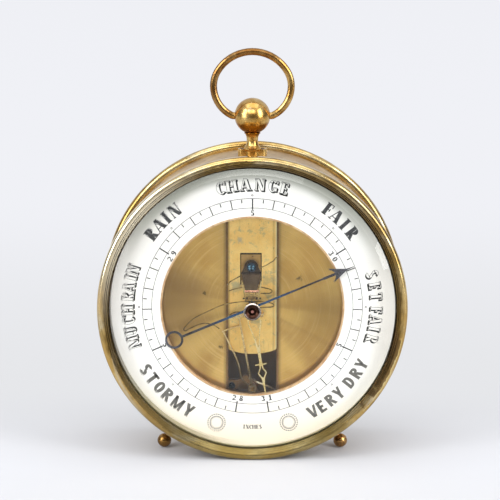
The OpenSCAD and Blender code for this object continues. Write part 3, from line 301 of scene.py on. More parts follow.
def case_brass():
    """Lacquered brass, darker on the bezel's inner slope and most so towards the top, greener low down and
    worn through at the lower right, with a painted highlight over the upper left and painted shade over the
    upper right.
    """
    n = turned_brass("lacquered_brass", "574524", "c09e5c", "dcc288", "dcd0b2")
    r, a = n.polar()
    edge = n.plus(r, n.wander(0.35, 0.3, 4.0, 0.55))
    slope = n.remap(edge, *BEZEL_SLOPE_R, 1.0, 0.0)
    n.tint(n.times(slope, n.remap(n.z, AXIS_Z - 50.0, AXIS_Z - 10.0, 0.35, 0.85)), "5a4520")
    n.tint(n.remap(n.z, 30.0, 4.0, 0.0, 0.55), "5f5a34")
    # painted highlight: the upper left of the bezel is lightened
    n.tint(n.times(n.remap(n.x, -20.0, -55.0, 0.0, 0.8), n.remap(n.z, 60.0, 110.0)), "fbf0d4")
    # painted shade: the upper right of the bezel is darkened
    n.tint(n.times(n.remap(n.x, 10.0, 40.0, 0.0, 0.4), n.remap(n.z, 90.0, 115.0)), "6e583c")
    n.tint(n.times(n.remap(n.x, -20.0, -45.0, 0.0, 0.3), n.remap(n.z, 40.0, 20.0)), "86744e")
    turn = n.plus(a, n.wander(0.12, 0.16, 4.0, 0.6))
    inside = n.remap(edge, BEZEL_CREST_R - 0.3, BEZEL_CREST_R, 1.0, 0.0)
    patch = n.times(n.band(turn, 1.72, 2.2, 0.04), inside)
    n.tint(n.times(patch, 0.85), "6b5334")
    rim = n.times(n.band(turn, 1.66, 2.26, 0.03), n.band(edge, BEZEL_CREST_R, BEZEL_CREST_R + 0.2, 0.15))
    n.tint(n.times(rim, 0.6), "f0dc9c")
    return n


def rim_brass():
    """The bezel's brass, a little redder, on the back rim."""
    return turned_brass("rim_brass", "5a4524", "bd9a58", "dcc288", "d8caa6")


def dark_edge():
    """Blackened at the top, and brassy where light from below reaches it."""
    n = metal("dark_edge", "1d1710", "42341f", "5a482e", rough=(0.35, 0.55))
    # painted light: the lower part of the ring is lightened towards brass
    n.tint(n.remap(n.z, AXIS_Z - 52.0, AXIS_Z - 12.0, 0.85, 0.0), "a29a70")
    return n


def aperture_brass():
    """The pinkish lining of the dial's opening."""
    n = metal("aperture_brass", "8c6440", "c89c6c", "eccca0", rough=(0.25, 0.4), patch=0.2, dirt=0.5)
    n.set(Metallic=n.spread(n.noise(0.2, 2.0), 0.4, 0.55))
    return n


def drum_brass():
    """Tarnished outside and brown inside, where the open movement shows it."""
    n = metal("tarnished_drum", "75624c", "bca382", "d2bc98", rough=(0.4, 0.6), patch=0.07, dirt=0.6,
              grain=1.2)
    n.tint(n.remap(n.polar()[0], DRUM_IN_R + 0.2, DRUM_IN_R + 0.6, 0.9, 0.0), "94714a")
    return n


def back_brass():
    """Satin with a turned grain behind, and brown on the side that closes the movement."""
    n = metal("satin_back", "6b5632", "ac915a", "c0a670", rough=(0.34, 0.5), patch=0.05, dirt=0.3)
    turned = n.noise(1.0, 3.0, 0.6, at=n.combine(n.times(n.polar()[0], 3.0), 0.0, 0.0))
    n.tint(n.remap(turned, 0.45, 0.7, 0.0, 0.3), "7d6638")
    front = front_of("back_plate")
    n.tint(n.remap(n.y, front + 0.2, front + 0.8, 0.9, 0.0), "94714a")
    return n


def blued_steel():
    """Blue by the hub and worn to grey-brown further out."""
    n = metal("blued_steel", "26201e", "38383e", "565a62", rough=(0.22, 0.4), patch=0.12, dirt=0.5)
    r = n.polar()[0]
    n.tint(n.remap(n.plus(r, n.wander(4.0, 0.12, 2.0)), 9.0, 24.0, 0.85, 0.0), "2c5c8c")
    n.tint(n.remap(r, 37.0, 42.0, 0.0, 0.7), "62626c")
    return n


def screw_blue():
    """A deep blue screw head with painted pale glints beside its slot."""
    n = metal("screw_blue", "05090e", "0c1a26", "1e4058", rough=(0.12, 0.25), patch=0.3)
    # painted highlights: four pale glints round the leaf screw's middle
    for side, above in ((-0.85, 0.4), (0.85, 0.4), (-0.8, -0.7), (0.8, -0.7)):
        n.tint(n.near(LEAF_X + side, LEAF_SCREW_UP + above, 0.25, 0.62, 0.85, 0.15), "88bcd6")
    return n


def ring_brass():
    """Rubbed brass wire, redder and darker over its top."""
    n = metal("ring_brass", "5e3418", "b08444", "dcb874", rough=(0.12, 0.24), patch=0.16, bump=0.0015,
              dirt=0.6, grain=1.6)
    over = n.math("SUBTRACT", n.z, n.x)
    n.tint(n.remap(over, AXIS_Z + 86.0, AXIS_Z + 112.0, 0.0, 0.6), "70401e")
    return n


def pendant_brass():
    """Polished brass, cloudy over the ball, with a painted reddish reflection under the ball and in the
    turned hollows below it.
    """
    n = metal("pendant_brass", "6a430e", "bd8f46", "dcbc78", rough=(0.16, 0.3), patch=0.12, dirt=0.5,
              bump=0.002)
    height = n.plus(n.z, n.wander(0.6, 0.2, 3.0))
    # painted reflection: the underside of the ball and the hollows below it are reddened
    n.tint(n.band(height, AXIS_Z + 79.5, AXIS_Z + 84.0, 2.2, 0.92), "8e5600")
    upper = n.remap(n.z, AXIS_Z + 87.0, AXIS_Z + 91.0)
    cloud = n.times(n.remap(n.noise(0.35, 4.0, 0.7), 0.55, 0.7), upper)
    n.tint(n.times(cloud, 0.4), "e6dcc8")
    return n


def knob_bronze():
    """A dark cup with a painted pale highlight on its rim, strongest over the top, and a coppery pin in its
    middle.
    """
    n = metal("knob_bronze", "0c0604", "21140f", "38241c", rough=(0.16, 0.3), patch=0.3, dirt=0.4)
    r = n.polar()[0]
    # painted highlight: the rim is made pale, most over the top
    upper = n.remap(n.z, AXIS_Z - 3.6, AXIS_Z + 2.6, 0.15, 0.95)
    n.tint(n.times(n.remap(r, KNOB_RIM_R - 0.25, KNOB_RIM_R), upper), "f8efe6")
    n.tint(n.band(r, 2.1, 2.5, 0.25, 0.35), "5a3c2e")
    n.tint(n.remap(r, KNOB_PIN_R - 0.25, KNOB_PIN_R, 0.9, 0.0), "c48a80")
    return n


def strap_brass():
    """Lacquered brass with grey-green bloom in patches, small specks, painted shade along its left edge, a
    darker line near its right edge and a painted pale highlight along that edge.
    """
    n = metal("strap_brass", "ac9558", "f0c26a", "f8d686", rough=(0.3, 0.46), patch=0.08, dirt=0.3,
              specks=0.5)
    n.tint(n.remap(n.noise(0.22, 4.0, 0.65, distortion=0.6), 0.55, 0.68, 0.0, 0.6), "9a9a78")
    n.tint(n.near(-7.6, 9.6, 0.6, 4.2, 0.7, 0.9), "9a9c80")
    n.tint(n.near(-5.8, 31.5, 0.4, 1.9, 0.6, 0.8), "8f968c")
    n.tint(n.near(7.0, 12.6, 0.5, 3.4, 0.5, 0.9), "98906a")
    left, right = -STRAP_HALF_W, STRAP_HALF_W
    # painted shade along the strap's left edge
    n.tint(n.remap(n.x, left + 0.1, left + 1.2, 0.6, 0.0), "7c5c2c")
    n.tint(n.band(n.x, right - 1.6, right - 1.2, 0.5, 0.3), "7c6434")
    # painted highlight along the strap's right edge
    n.tint(n.remap(n.x, right - 0.7, right - 0.45, 0.0, 0.6), "cfcda2")
    scratch = n.noise(1.0, 3.0, 0.6, at=n.combine(n.times(n.x, 2.2), n.times(n.z, 0.12), 0.0))
    n.tint(n.remap(scratch, 0.6, 0.72, 0.0, 0.35), "a07c3c")
    return n


def bar_brass():
    """Aged brass, in shadow under the strap round the window's edges and round the leaf."""
    n = metal("bar_brass", "5a4222", "b08a4c", "c6a264", rough=(0.3, 0.48))
    plate = front_of("movement_plate")
    front = n.remap(n.y, plate, plate + 2.0, 1.0, 0.0)
    left, right = WINDOW_SIDES
    # painted shadow round the leaf and its screw, along the window's top and down its sides
    n.tint(n.times(n.near(LEAF_X, LEAF_SCREW_UP, 2.6, 5.2, 0.7), front), "4a331a")
    n.tint(n.times(n.near(LEAF_X, LEAF_UP, 3.2, 6.0, 0.7), front), "3c2a16")
    n.tint(n.times(n.remap(n.height(), WINDOW_TOP, WINDOW_TOP + 0.25), front), "120a05")
    n.tint(n.times(n.remap(n.x, left - 0.1, left + 0.1, 1.0, 0.0), front), "1e130a")
    n.tint(n.times(n.remap(n.x, right - 0.1, right + 0.1), front), "1e130a")
    return n


def leaf_steel():
    """Grey-brown leaf, darkest along its fold."""
    n = metal("leaf_steel", "1c1610", "3a2e22", "4c3e2e", rough=(0.5, 0.65), patch=0.2)
    # painted shade along the fold
    n.tint(n.band(n.height(), 15.2, 15.9, 0.5, 0.8), "150f0a")
    n.tint(n.remap(n.height(), 8.0, 12.0, 0.5, 0.0), "55462f")
    return n


def sector_brass():
    """Bright wheelwork, with painted shade that darkens it low down in the case."""
    n = metal("sector_brass", "8a6f3c", "d2b274", "eed8a0", rough=(0.2, 0.34), patch=0.25, dirt=0.25)
    # painted shade deep in the case
    n.tint(n.remap(n.z, AXIS_Z - 36.0, AXIS_Z - 16.0, 0.9, 0.0), "3c2c18")
    return n


def plate_brass():
    """Lacquered plate turned in fine circles, with painted fans of light and shade, a few stains, and painted
    brown shade along its slot, by its edge and over its left and right sides.
    """
    n = Net("turned_plate", Metallic=1.0, Anisotropic=0.7)
    r, a = n.polar()
    side, up = n.math("SINE", a), n.math("COSINE", a)
    fine = n.noise(1.0, 3.0, 0.6, at=n.combine(n.times(r, 4.0), 0.0, 0.0))
    lines = n.noise(1.0, 3.0, 0.6, at=n.combine(n.times(r, 1.1), side, up))
    fans = n.noise(1.9, 3.0, 0.5, at=n.combine(side, up, 0.0))
    colour = n.mix(n.remap(n.noise(0.05, 3.0, 0.5), 0.35, 0.65), rgb("cca254"), rgb("e2bc6c"))
    # painted light and shade: fans of tone by angle round the axis
    colour = n.mix(n.remap(fans, 0.42, 0.62, 0.0, 0.45), colour, rgb("a07a3e"))
    colour = n.mix(n.remap(fine, 0.35, 0.65, 0.0, 0.22), colour, rgb("8c6b34"))
    colour = n.mix(n.remap(lines, 0.52, 0.7, 0.0, 0.28), colour, rgb("eccb86"))
    n.set(Base_Color=colour, Roughness=n.spread(fine, 0.3, 0.4), Normal=n.bump(fine, 0.0028))
    # painted shade along both edges of the slot
    n.tint(n.remap(n.math("ABSOLUTE", n.x), SLOT_HALF_W - 0.1, SLOT_HALF_W + 1.8, 0.55, 0.0), "5c4424")
    # painted shade near the plate's edge, under the dial
    n.tint(n.remap(r, PLATE_EDGE_R - 2.5, PLATE_EDGE_R, 0.0, 0.3), "8a6a3a")
    n.set(Metallic=n.remap(r, PLATE_EDGE_R - 6.5, PLATE_EDGE_R, 1.0, 0.8))
    # painted shade: darker over the plate's left side and in two broad patches left and right
    left = n.times(n.remap(side, -0.8, -0.98), n.remap(r, 14.0, 30.0))
    n.tint(n.times(left, 0.5), "7a5630")
    n.tint(n.near(35.0, -4.0, 2.0, 22.0, 0.38), "7c683c")
    n.tint(n.near(-38.0, 4.0, 2.0, 20.0, 0.4), "7c6238")
    n.tint(n.remap(n.noise(0.35, 4.0, 0.7), 0.66, 0.74, 0.0, 0.5), "5c5028")
    for x, above, size in ((21.9, 12.5, 1.5), (-22.6, 5.5, 1.2), (-15.1, -21.0, 1.3)):
        n.tint(n.near(x, above, size * 0.3, size, 0.75, size * 0.6), "453a1e")
    tangent = n.node("Tangent")
    tangent.direction_type, tangent.axis = "RADIAL", "Y"
    n.join(tangent.outputs[0], n.shader.inputs["Tangent"])
    return n


def dial_enamel():
    """White enamel, creamier low down, with painted light along its right side and a painted grey shadow
    under the top of the bezel.
    """
    n = Net("dial_enamel", Metallic=0.0, Coat_Weight=0.06, Coat_Roughness=0.12, Specular_IOR_Level=0.35)
    r, a = n.polar()
    wide = n.noise(0.03, 3.0, 0.5)
    colour = n.mix(n.remap(wide, 0.35, 0.7), rgb("f6f6f2"), rgb("f1efe9"))
    colour = n.mix(n.times(n.remap(n.z, 40.0, 5.0), 0.85), colour, rgb("f0e2cc"))
    # painted light: the right side of the dial is lightened
    colour = n.mix(n.remap(n.x, 48.0, 66.0, 0.0, 0.6), colour, rgb("fffaf0"))
    # painted shadow under the top of the bezel
    upper = n.remap(n.math("COSINE", a), 0.1, 0.9, 0.0, 0.9)
    colour = n.mix(n.times(n.remap(r, 58.5, 64.0), upper), colour, rgb("a6aa9c"))
    faint = n.remap(n.noise(1.3, 4.0, 0.7), 0.62, 0.75, 0.0, 0.1)
    colour = n.mix(faint, colour, rgb("cfc8b4"))
    n.set(Base_Color=colour, Roughness=n.spread(wide, 0.3, 0.42), Normal=n.bump(n.noise(0.6, 2.0), 0.0012))
    return n


def dial_print(name, dark, light):
    """Printing ink, lighter where it is worn."""
    n = Net(name, Metallic=0.0, Specular_IOR_Level=0.3)
    patchy = n.noise(1.6, 4.0, 0.7)
    n.set(Base_Color=n.mix(n.remap(patchy, 0.45, 0.8), rgb(dark), rgb(light)),
          Roughness=n.spread(patchy, 0.45, 0.6))
    return n


def dial_ink():
    return dial_print("dial_ink", "2c2d30", "55575a")


def dial_grey_ink():
    return dial_print("dial_grey_ink", "5c5a55", "77756f")


def clear_glass():
    """Clear glass that lets light through to the dial, with a duller bevel on its left."""
    n = Net("clear_glass", Metallic=0.0, IOR=1.4, Transmission_Weight=1.0)
    n.set(Base_Color=(0.985, 0.995, 0.99, 1.0), Roughness=n.spread(n.noise(0.05, 2.0), 0.0, 0.012))
    r = n.polar()[0]
    dull = n.times(n.remap(r, GLASS_BEVEL_R - 2.0, GLASS_BEVEL_R), n.remap(n.x, 0.0, -35.0))
    rays = n.node("LightPath")
    through = n.math("MAXIMUM", rays.outputs["Is Shadow Ray"], rays.outputs["Is Diffuse Ray"])
    n.show_instead(n.math("MAXIMUM", through, n.times(dull, 0.8)), n.node("BsdfTransparent"))
    return n


# dark, base and light tone, range of roughness, scale of the patches and strength of the stains
PLAIN_METALS = {
    # brown of the slot liners, which stand in partly for the shade beside the strap
    "slot_shade_brown": ("4a3620", "7c5e38", "94714a", (0.4, 0.6), 0.2, 0.35),
    "foot_brass": ("3a2612", "84602e", "b08a54", (0.16, 0.34), 0.16, 0.7),
    "foot_dark": ("2a1a0e", "8c6840", "d8a868", (0.12, 0.3), 0.3, 0.95),
    "screw_bronze": ("1c140c", "5a4528", "8a6c40", (0.25, 0.45), 0.4, 0.35),
    "lining_brass": ("8f683e", "d8ae7c", "f2d6a8", (0.2, 0.36), 0.2, 0.3),
    "bright_steel": ("5a5a5a", "a8a8a6", "c8c8c4", (0.15, 0.3), 0.09, 0.35),
    "hand_brass": ("a8803e", "e6cb84", "f8e8b4", (0.2, 0.36), 0.2, 0.2),
    "anchor_brass": ("7a6434", "cdae68", "e6d092", (0.2, 0.36), 0.09, 0.35),
    "frame_brass": ("2c2012", "664c2c", "8c6c40", (0.35, 0.55), 0.09, 0.35),
    "copper": ("a06048", "dc9c7c", "f4c4a4", (0.18, 0.3), 0.3, 0.35),
    "wire_brass": ("2c2414", "62532f", "ae965c", (0.25, 0.42), 0.35, 0.35),
    "tube_brass": ("3a2a16", "7a5c34", "98784a", (0.25, 0.4), 0.09, 0.35),
    "link_brass": ("a89468", "e2d6b4", "f4ecd2", (0.16, 0.3), 0.25, 0.2),
}
OWN_MATERIALS = {
    "case_brass": case_brass, "rim_brass": rim_brass, "drum_brass": drum_brass, "back_brass": back_brass,
    "dark_edge": dark_edge, "aperture_brass": aperture_brass, "pendant_brass": pendant_brass,
    "ring_brass": ring_brass, "blued_steel": blued_steel, "screw_blue": screw_blue,
    "knob_bronze": knob_bronze, "strap_brass": strap_brass, "bar_brass": bar_brass,
    "leaf_steel": leaf_steel, "sector_brass": sector_brass, "plate_brass": plate_brass,
    "dial_enamel": dial_enamel, "dial_ink": dial_ink, "dial_grey_ink": dial_grey_ink,
    "clear_glass": clear_glass,
}
NODE_MATERIALS = {
    "case_drum": "drum_brass", "front_bezel": "case_brass", "back_rim": "rim_brass",
    "back_plate": "back_brass", "glass": "clear_glass", "glass_bush": "lining_brass",
    "spacer_ring": "dark_edge", "rim_screws": "screw_bronze",
    "foot_left": "foot_brass", "foot_right": "foot_dark", "foot_nuts": "foot_dark",
    "pendant": "pendant_brass", "pendant_screws": "screw_bronze", "carrying_ring": "ring_brass",
    "dial": "dial_enamel", "aperture_ring": "aperture_brass",
    "pointer": "blued_steel", "pointer_collet": "blued_steel", "pointer_arbor": "bright_steel",
    "set_hand": "hand_brass", "set_hand_knob": "knob_bronze", "set_hand_nut": "lining_brass",
    "movement_plate": "plate_brass", "movement_pillars": "bar_brass", "pillar_screws": "screw_bronze",
    "bridge_strap": "strap_brass", "strap_screws": "screw_bronze", "arbor_cock": "frame_brass",
    "sector_cock": "frame_brass", "cock_screws": "screw_bronze", "stop_screw": "screw_blue",
    "clamp_bar": "bar_brass", "clamp_leaf": "leaf_steel", "leaf_screw": "screw_blue",
    "spring_anchor": "anchor_brass", "copper_bar": "copper", "anchor_pins": "leaf_steel",
    "hairpin_spring": "wire_brass", "take_up_spring": "wire_brass",
    "tube_column": "frame_brass", "tube_clamp": "frame_brass", "clamp_screws": "screw_bronze",
    "bourdon_tube": "tube_brass", "tube_end_left": "frame_brass", "tube_end_right": "frame_brass",
    "sector": "sector_brass", "sector_arbor": "screw_bronze", "double_crank": "frame_brass",
    "link_left": "link_brass", "link_right": "link_brass",
    "adjusting_screw": "screw_bronze", "adjusting_bush": "back_brass",
}


def make_materials():
    for name, (dark, base, light, rough, patch, dirt) in PLAIN_METALS.items():
        MATERIALS[name] = metal(name, dark, base, light, rough=rough, patch=patch, dirt=dirt).material
    for name, make in OWN_MATERIALS.items():
        MATERIALS[name] = make().material


def dress_nodes():
    """Gives every node of the frame its material, in each slot that the node has."""
    for name, key in NODE_MATERIALS.items():
        mesh = frame["nodes"][name].data
        if not mesh.materials:
            mesh.materials.append(MATERIALS[key])
        for i in range(len(mesh.materials)):
            mesh.materials[i] = MATERIALS[key]


# Small pieces

WIRE_R = 0.26
WIRE_SIDES = 8
# x, height over the drum axis, and how far the wire lies behind its place on the strap's face
WIRE_PATHS = (
    ((11.75, 23.6, 1.36), (11.35, 23.4, 0.0), (10.8, 23.1, 0.0), (9.9, 21.7, 0.0),
     (8.3, 20.8, 0.0), (6.8, 19.8, 0.0), (4.7, 18.9, 0.0), (4.25, 18.7, 0.5)),
    ((-5.55, 14.6, 0.5), (-5.9, 14.3, 0.0), (-7.2, 13.6, 0.0), (-9.1, 12.6, 0.0),
     (-10.6, 11.6, 0.0), (-11.3, 10.5, 0.0), (-11.7, 10.1, 1.36)),
)
# one side of the pointer's head, from the tip of its needle: mm across the pointer and along it
HEAD_SIDE = (
    (0.12, 51.4), (0.34, 47.8), (1.2, 45.6), (2.0, 43.7), (2.75, 42.0), (3.5, 40.0),
    (2.3, 41.1), (1.3, 41.8), (0.62, 42.0), (0.58, 36.0),
)
# how far the head reaches before and behind the pointer's own face, and the chamfer of its front edges
HEAD_FRONT = 0.22
HEAD_BACK = 0.3
HEAD_CHAMFER = 0.1
SHADE_LINER_INNER_W = 11.5
# where a liner begins and ends, behind the front of the movement plate; the liners stand in partly for the
# shade beside the strap
SHADE_LINER_DEPTHS = (0.1, 1.4)
SHADE_LINER_CHAMFER = 0.08


def world_point(x, y, up):
    """A point in metres, from mm right, mm into the case and mm over the drum axis."""
    return x * MM, y * MM, (AXIS_Z + up) * MM


def twice_area(outline):
    """Twice an outline's area, which is below zero for one that runs clockwise."""
    return sum(p[0] * q[1] - q[0] * p[1] for p, q in zip(outline, outline[1:] + outline[:1]))


def shrink(outline, by):
    """The same outline drawn in towards its middle line by a small amount."""
    turn = 1 if twice_area(outline) > 0 else -1
    out = []
    for i in range(len(outline)):
        a, b, c = Vector(outline[i - 1]), Vector(outline[i]), Vector(outline[(i + 1) % len(outline)])
        before, after = b - a, c - b
        if before.length < 1e-9 or after.length < 1e-9:
            out.append(tuple(b))
            continue
        before.normalize()
        after.normalize()
        normal = Vector((-before.y, before.x)) * turn
        both = normal + Vector((-after.y, after.x)) * turn
        inwards = both / max(both.dot(normal), 0.5) if both.length > 1e-6 else normal
        out.append(tuple(b + inwards * by))
    return out


def skin(bm, loops):
    """Joins loops of vertices one after another by quads and closes both ends."""
    count = len(loops[0])
    for one, two in zip(loops, loops[1:]):
        for i in range(count):
            j = (i + 1) % count
            bm.faces.new((one[i], one[j], two[j], two[i]))
    bm.faces.new(loops[0])
    bm.faces.new(loops[-1])


def add_piece(name, mesh, key, body):
    """Makes an object of a finished mesh, with the material of a key, which moves with a body."""
    mesh.materials.append(MATERIALS[key])
    obj = add_object(name, mesh)
    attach(obj, body)


def add_solid(name, bm, key, body):
    """Makes a piece of a closed bmesh."""
    bmesh.ops.recalc_face_normals(bm, faces=bm.faces)
    mesh = bpy.data.meshes.new(name)
    bm.to_mesh(mesh)
    bm.free()
    add_piece(name, mesh, key, body)


def make_pointer_head():
    """The long needle and swept barbs that carry the pointer's tip out over the scale."""
    outline = list(HEAD_SIDE) + [(-across, along) for across, along in reversed(HEAD_SIDE)]
    turn = math.radians(POINTER_REST)
    side, up = math.sin(turn), math.cos(turn)
    face = front_of("pointer")
    front, back = face - HEAD_FRONT, face + HEAD_BACK
    bm = bmesh.new()

    def loop(points, y):
        return [bm.verts.new(world_point(across * up + along * side, y, along * up - across * side))
                for across, along in points]

    inner = shrink(outline, HEAD_CHAMFER)
    skin(bm, [loop(inner, front), loop(outline, front + HEAD_CHAMFER), loop(outline, back)])
    add_solid("pointer_head", bm, "blued_steel", "pointer_work")


def make_slot_shade_liners():
    """Brown strips that line the two long edges of the slot, just behind the front of the plate: a brown step
    beside the strap that also stands in for the shade there.
    """
    bottom, top = SLOT_HEIGHTS
    plate = front_of("movement_plate")
    for name, side in (("slot_shade_liner_left", -1), ("slot_shade_liner_right", 1)):
        bm = bmesh.new()
        near, far = SHADE_LINER_INNER_W * side, SLOT_HALF_W * side
        corners = ((near, bottom), (far, bottom), (far, top), (near, top))
        skin(bm, [[bm.verts.new(world_point(x, plate + depth, up)) for x, up in corners]
                  for depth in SHADE_LINER_DEPTHS])
        bmesh.ops.recalc_face_normals(bm, faces=bm.faces)
        bmesh.ops.bevel(bm, geom=list(bm.edges), offset=SHADE_LINER_CHAMFER * MM, segments=1, affect="EDGES")
        add_solid(name, bm, "slot_shade_brown", "case")


def make_index_wire():
    """A fine wire that lies on the strap on both sides of the window and runs on behind it."""
    bm = bmesh.new()
    resting = front_of("bridge_strap") - WIRE_R
    turns = [2 * math.pi * k / WIRE_SIDES for k in range(WIRE_SIDES)]
    for path in WIRE_PATHS:
        points = [Vector(world_point(x, resting + behind, up)) for x, up, behind in path]
        rings = []
        for i, p in enumerate(points):
            along = points[min(i + 1, len(points) - 1)] - points[max(i - 1, 0)]
            across = along.cross(Vector((0.0, 1.0, 0.0))).normalized()
            out = across.cross(along).normalized()
            arms = [math.cos(t) * across + math.sin(t) * out for t in turns]
            rings.append([bm.verts.new(p + WIRE_R * MM * arm) for arm in arms])
        skin(bm, rings)
    for f in bm.faces:
        f.smooth = len(f.verts) == 4
    add_solid("index_wire", bm, "wire_brass", "case")


# Printing on the dial

# how far the print stands in front of the dial
INK_LIFT = 0.012
FACE_LIFT = 0.02
SCALE_RINGS = (47.3, 51.75)
SCALE_LINE = 0.26
# divisions on each side of the top, their step and the turn of the whole scale in degrees
SCALE_HALF = 15
SCALE_STEP = 11.415
SCALE_TURN = 0.1
TICK_W = 0.5
LONG_TICK_W = 0.66
LONG_TICK_R = (46.4, 51.85)
SMALL_TICK_R = (49.7, 51.4)
SMALL_RING = (0.26, 0.5)
SMALL_RING_AT = 53.3
SMALL_RING_ANGLES = (0, 45, 90, 135, -45, -90, -135)
# each figure and its division, counted from the top
FIGURES = (("28", -15), ("5", -10), ("29", -5), ("5", 0), ("30", 5), ("5", 10), ("31", 15))
FIGURE_R = 44.9
FIGURE_HEIGHT = 2.6
FIGURE_GAP = 1.65
# further from the top than this many divisions, a figure's top points in
FIGURE_FLIP = 8
SEAL_AT = 58.9
SEAL_ANGLES = (162.9, -163.2)
SEAL_RINGS = ((2.93, 3.27), (2.5, 2.62))
SEAL_BEADS = 24
SEAL_BEADS_AT = 4.1
SEAL_BEAD_R = 0.34
# thick stroke, thin stroke and serif as parts of a letter's height, and for a pale letter the line round it
# and the throw of its shadow in mm
PENS = {
    "sans": {"pen": (0.25, 0.21, 0), "ink": "grey"},
    "fat": {"pen": (0.26, 0.07, 0.06), "ink": "dark"},
    "fancy": {"pen": (0.24, 0.12, 0.06), "line": 0.17, "shadow": (0.55, -0.5), "ink": "dark"},
}
# letters, the angle of each, radius of their inner edge, height, whether tops point out, pen and breadth
WORDS = (
    ("STORMY", (-121.1, -126.3, -131.6, -137.1, -142.9, -149.0), 55.7, 6.1, False, "sans", 1.12),
    ("VERYDRY", (150.7, 145.9, 140.4, 135.7, 128.6, 123.0, 118.3), 55.6, 5.9, False, "sans", 1.05),
    ("RAIN", (-53.4, -47.8, -43.3, -38.2), 55.6, 6.1, True, "fat", 1.12),
    ("FAIR", (37.0, 42.3, 47.4, 52.9), 55.45, 6.1, True, "fat", 1.12),
    ("CHANGE", (-14.5, -9.6, -3.0, 3.5, 9.5, 14.7), 55.5, 5.8, True, "fancy", 1.15),
    ("MUCHRAIN", (-107.2, -101.7, -96.4, -91.7, -85.2, -80.7, -76.3, -72.4), 55.7, 6.1, True, "fancy", 0.95),
    ("SETFAIR", (74.3, 79.8, 85.0, 91.4, 96.2, 100.5, 105.4), 55.3, 6.1, True, "fancy", 0.95),
)
UNIT_STEP = 9.2 / 6
UNIT = ("INCHES", [UNIT_STEP * (2.5 - i) - 180 for i in range(6)], 57.6, 2.0, False, "fat", 1.0)


class Print:
    """Flat faces seen from the front, in mm right and up from the drum axis."""

    def __init__(self, name, key, lift):
        self.name = name
        self.key = key
        self.y = front_of("dial") - lift
        self.points = []
        self.faces = []

    def face(self, outline):
        """Adds an outline as a face that looks forward, whichever way round the outline runs."""
        if twice_area(outline) < 0:
            outline = outline[::-1]
        start = len(self.points)
        self.points += [world_point(x, self.y, up) for x, up in outline]
        self.faces.append(tuple(range(start, start + len(outline))))

    def ring(self, centre, r_in, r_out, steps):
        def circle(r):
            points = [at_angle(r, 360 * i / steps) for i in range(steps + 1)]
            return [(centre[0] + x, centre[1] + up) for x, up in points]

        one, two = circle(r_in), circle(r_out)
        for i in range(steps):
            self.face([one[i], one[i + 1], two[i + 1], two[i]])

    def tick(self, angle, r_in, r_out, width):
        u, v = at_angle(1, angle), at_angle(1, angle + 90)
        half = width / 2
        corners = ((r_in, -half), (r_out, -half), (r_out, half), (r_in, half))
        self.face([(u[0] * r + v[0] * s, u[1] * r + v[1] * s) for r, s in corners])

    def build(self):
        mesh = bpy.data.meshes.new(self.name)
        mesh.from_pydata(self.points, [], self.faces)
        add_piece(self.name, mesh, self.key, "case")


def bar(x0, y0, x1, y1):
    return [(x0, y0), (x1, y0), (x1, y1), (x0, y1)]


def slant(x0, y0, x1, y1, w):
    """A sloping stroke whose ends are cut level."""
    return [(x0 - w / 2, y0), (x0 + w / 2, y0), (x1 + w / 2, y1), (x1 - w / 2, y1)]


def bowl(cx, cy, rx, ry, wx, wy, a0, a1, steps=14):
    """A curved stroke of an oval: wx thick at the sides and wy at top and bottom, clockwise from the top."""
    outer, inner = [], []
    for i in range(steps + 1):
        a = math.radians(a0 + (a1 - a0) * i / steps)
        outer.append((cx + rx * math.sin(a), cy + ry * math.cos(a)))
        inner.append((cx + (rx - wx) * math.sin(a), cy + (ry - wy) * math.cos(a)))
    return outer + inner[::-1]


def foot(pen, x, w, y):
    """The serif at one end of a stroke, if the pen has serifs."""
    h, s = pen[1:]
    return [bar(x - s, y, x + w + s, y + h)] if s else []


def stem(pen, x, w, top=True, bottom=True):
    """An upright stroke of the letter's whole height."""
    low = foot(pen, x, w, 0) if bottom else []
    high = foot(pen, x, w, 1 - pen[1]) if top else []
    return [bar(x, 0, x + w, 1)] + low + high


def drop(pen, x, y0, y1):
    """The short upright serif at the end of an arm, if the pen has serifs."""
    return [bar(x - pen[1], y0, x, y1)] if pen[2] else []


def straight_letter(c, pen):
    """I, H, T, E or F."""
    t, h, s = pen
    if c == "I":
        return stem(pen, s, t), t + 2 * s
    if c == "H":
        x = s + t + 0.26
        return stem(pen, s, t) + stem(pen, x, t) + [bar(s + t, 0.5 - h / 2, x, 0.5 + h / 2)], x + t + s
    if c == "T":
        w = 0.62
        arms = [bar(0, 1 - h, w, 1)] + drop(pen, h, 0.72, 1) + drop(pen, w, 0.72, 1)
        return stem(pen, w / 2 - t / 2, t, top=False) + arms, w
    w = 0.56
    out = stem(pen, s, t)
    out += [bar(s + t / 2, 1 - h, w, 1), bar(s + t / 2, 0.5 - h / 2, w - 0.12, 0.5 + h / 2)]
    out += drop(pen, w, 0.72, 1) + drop(pen, w - 0.1, 0.38, 0.62)
    if c == "E":
        out += [bar(s + t / 2, 0, w, h)] + drop(pen, w, 0, 0.28)
    return out, w + 0.02


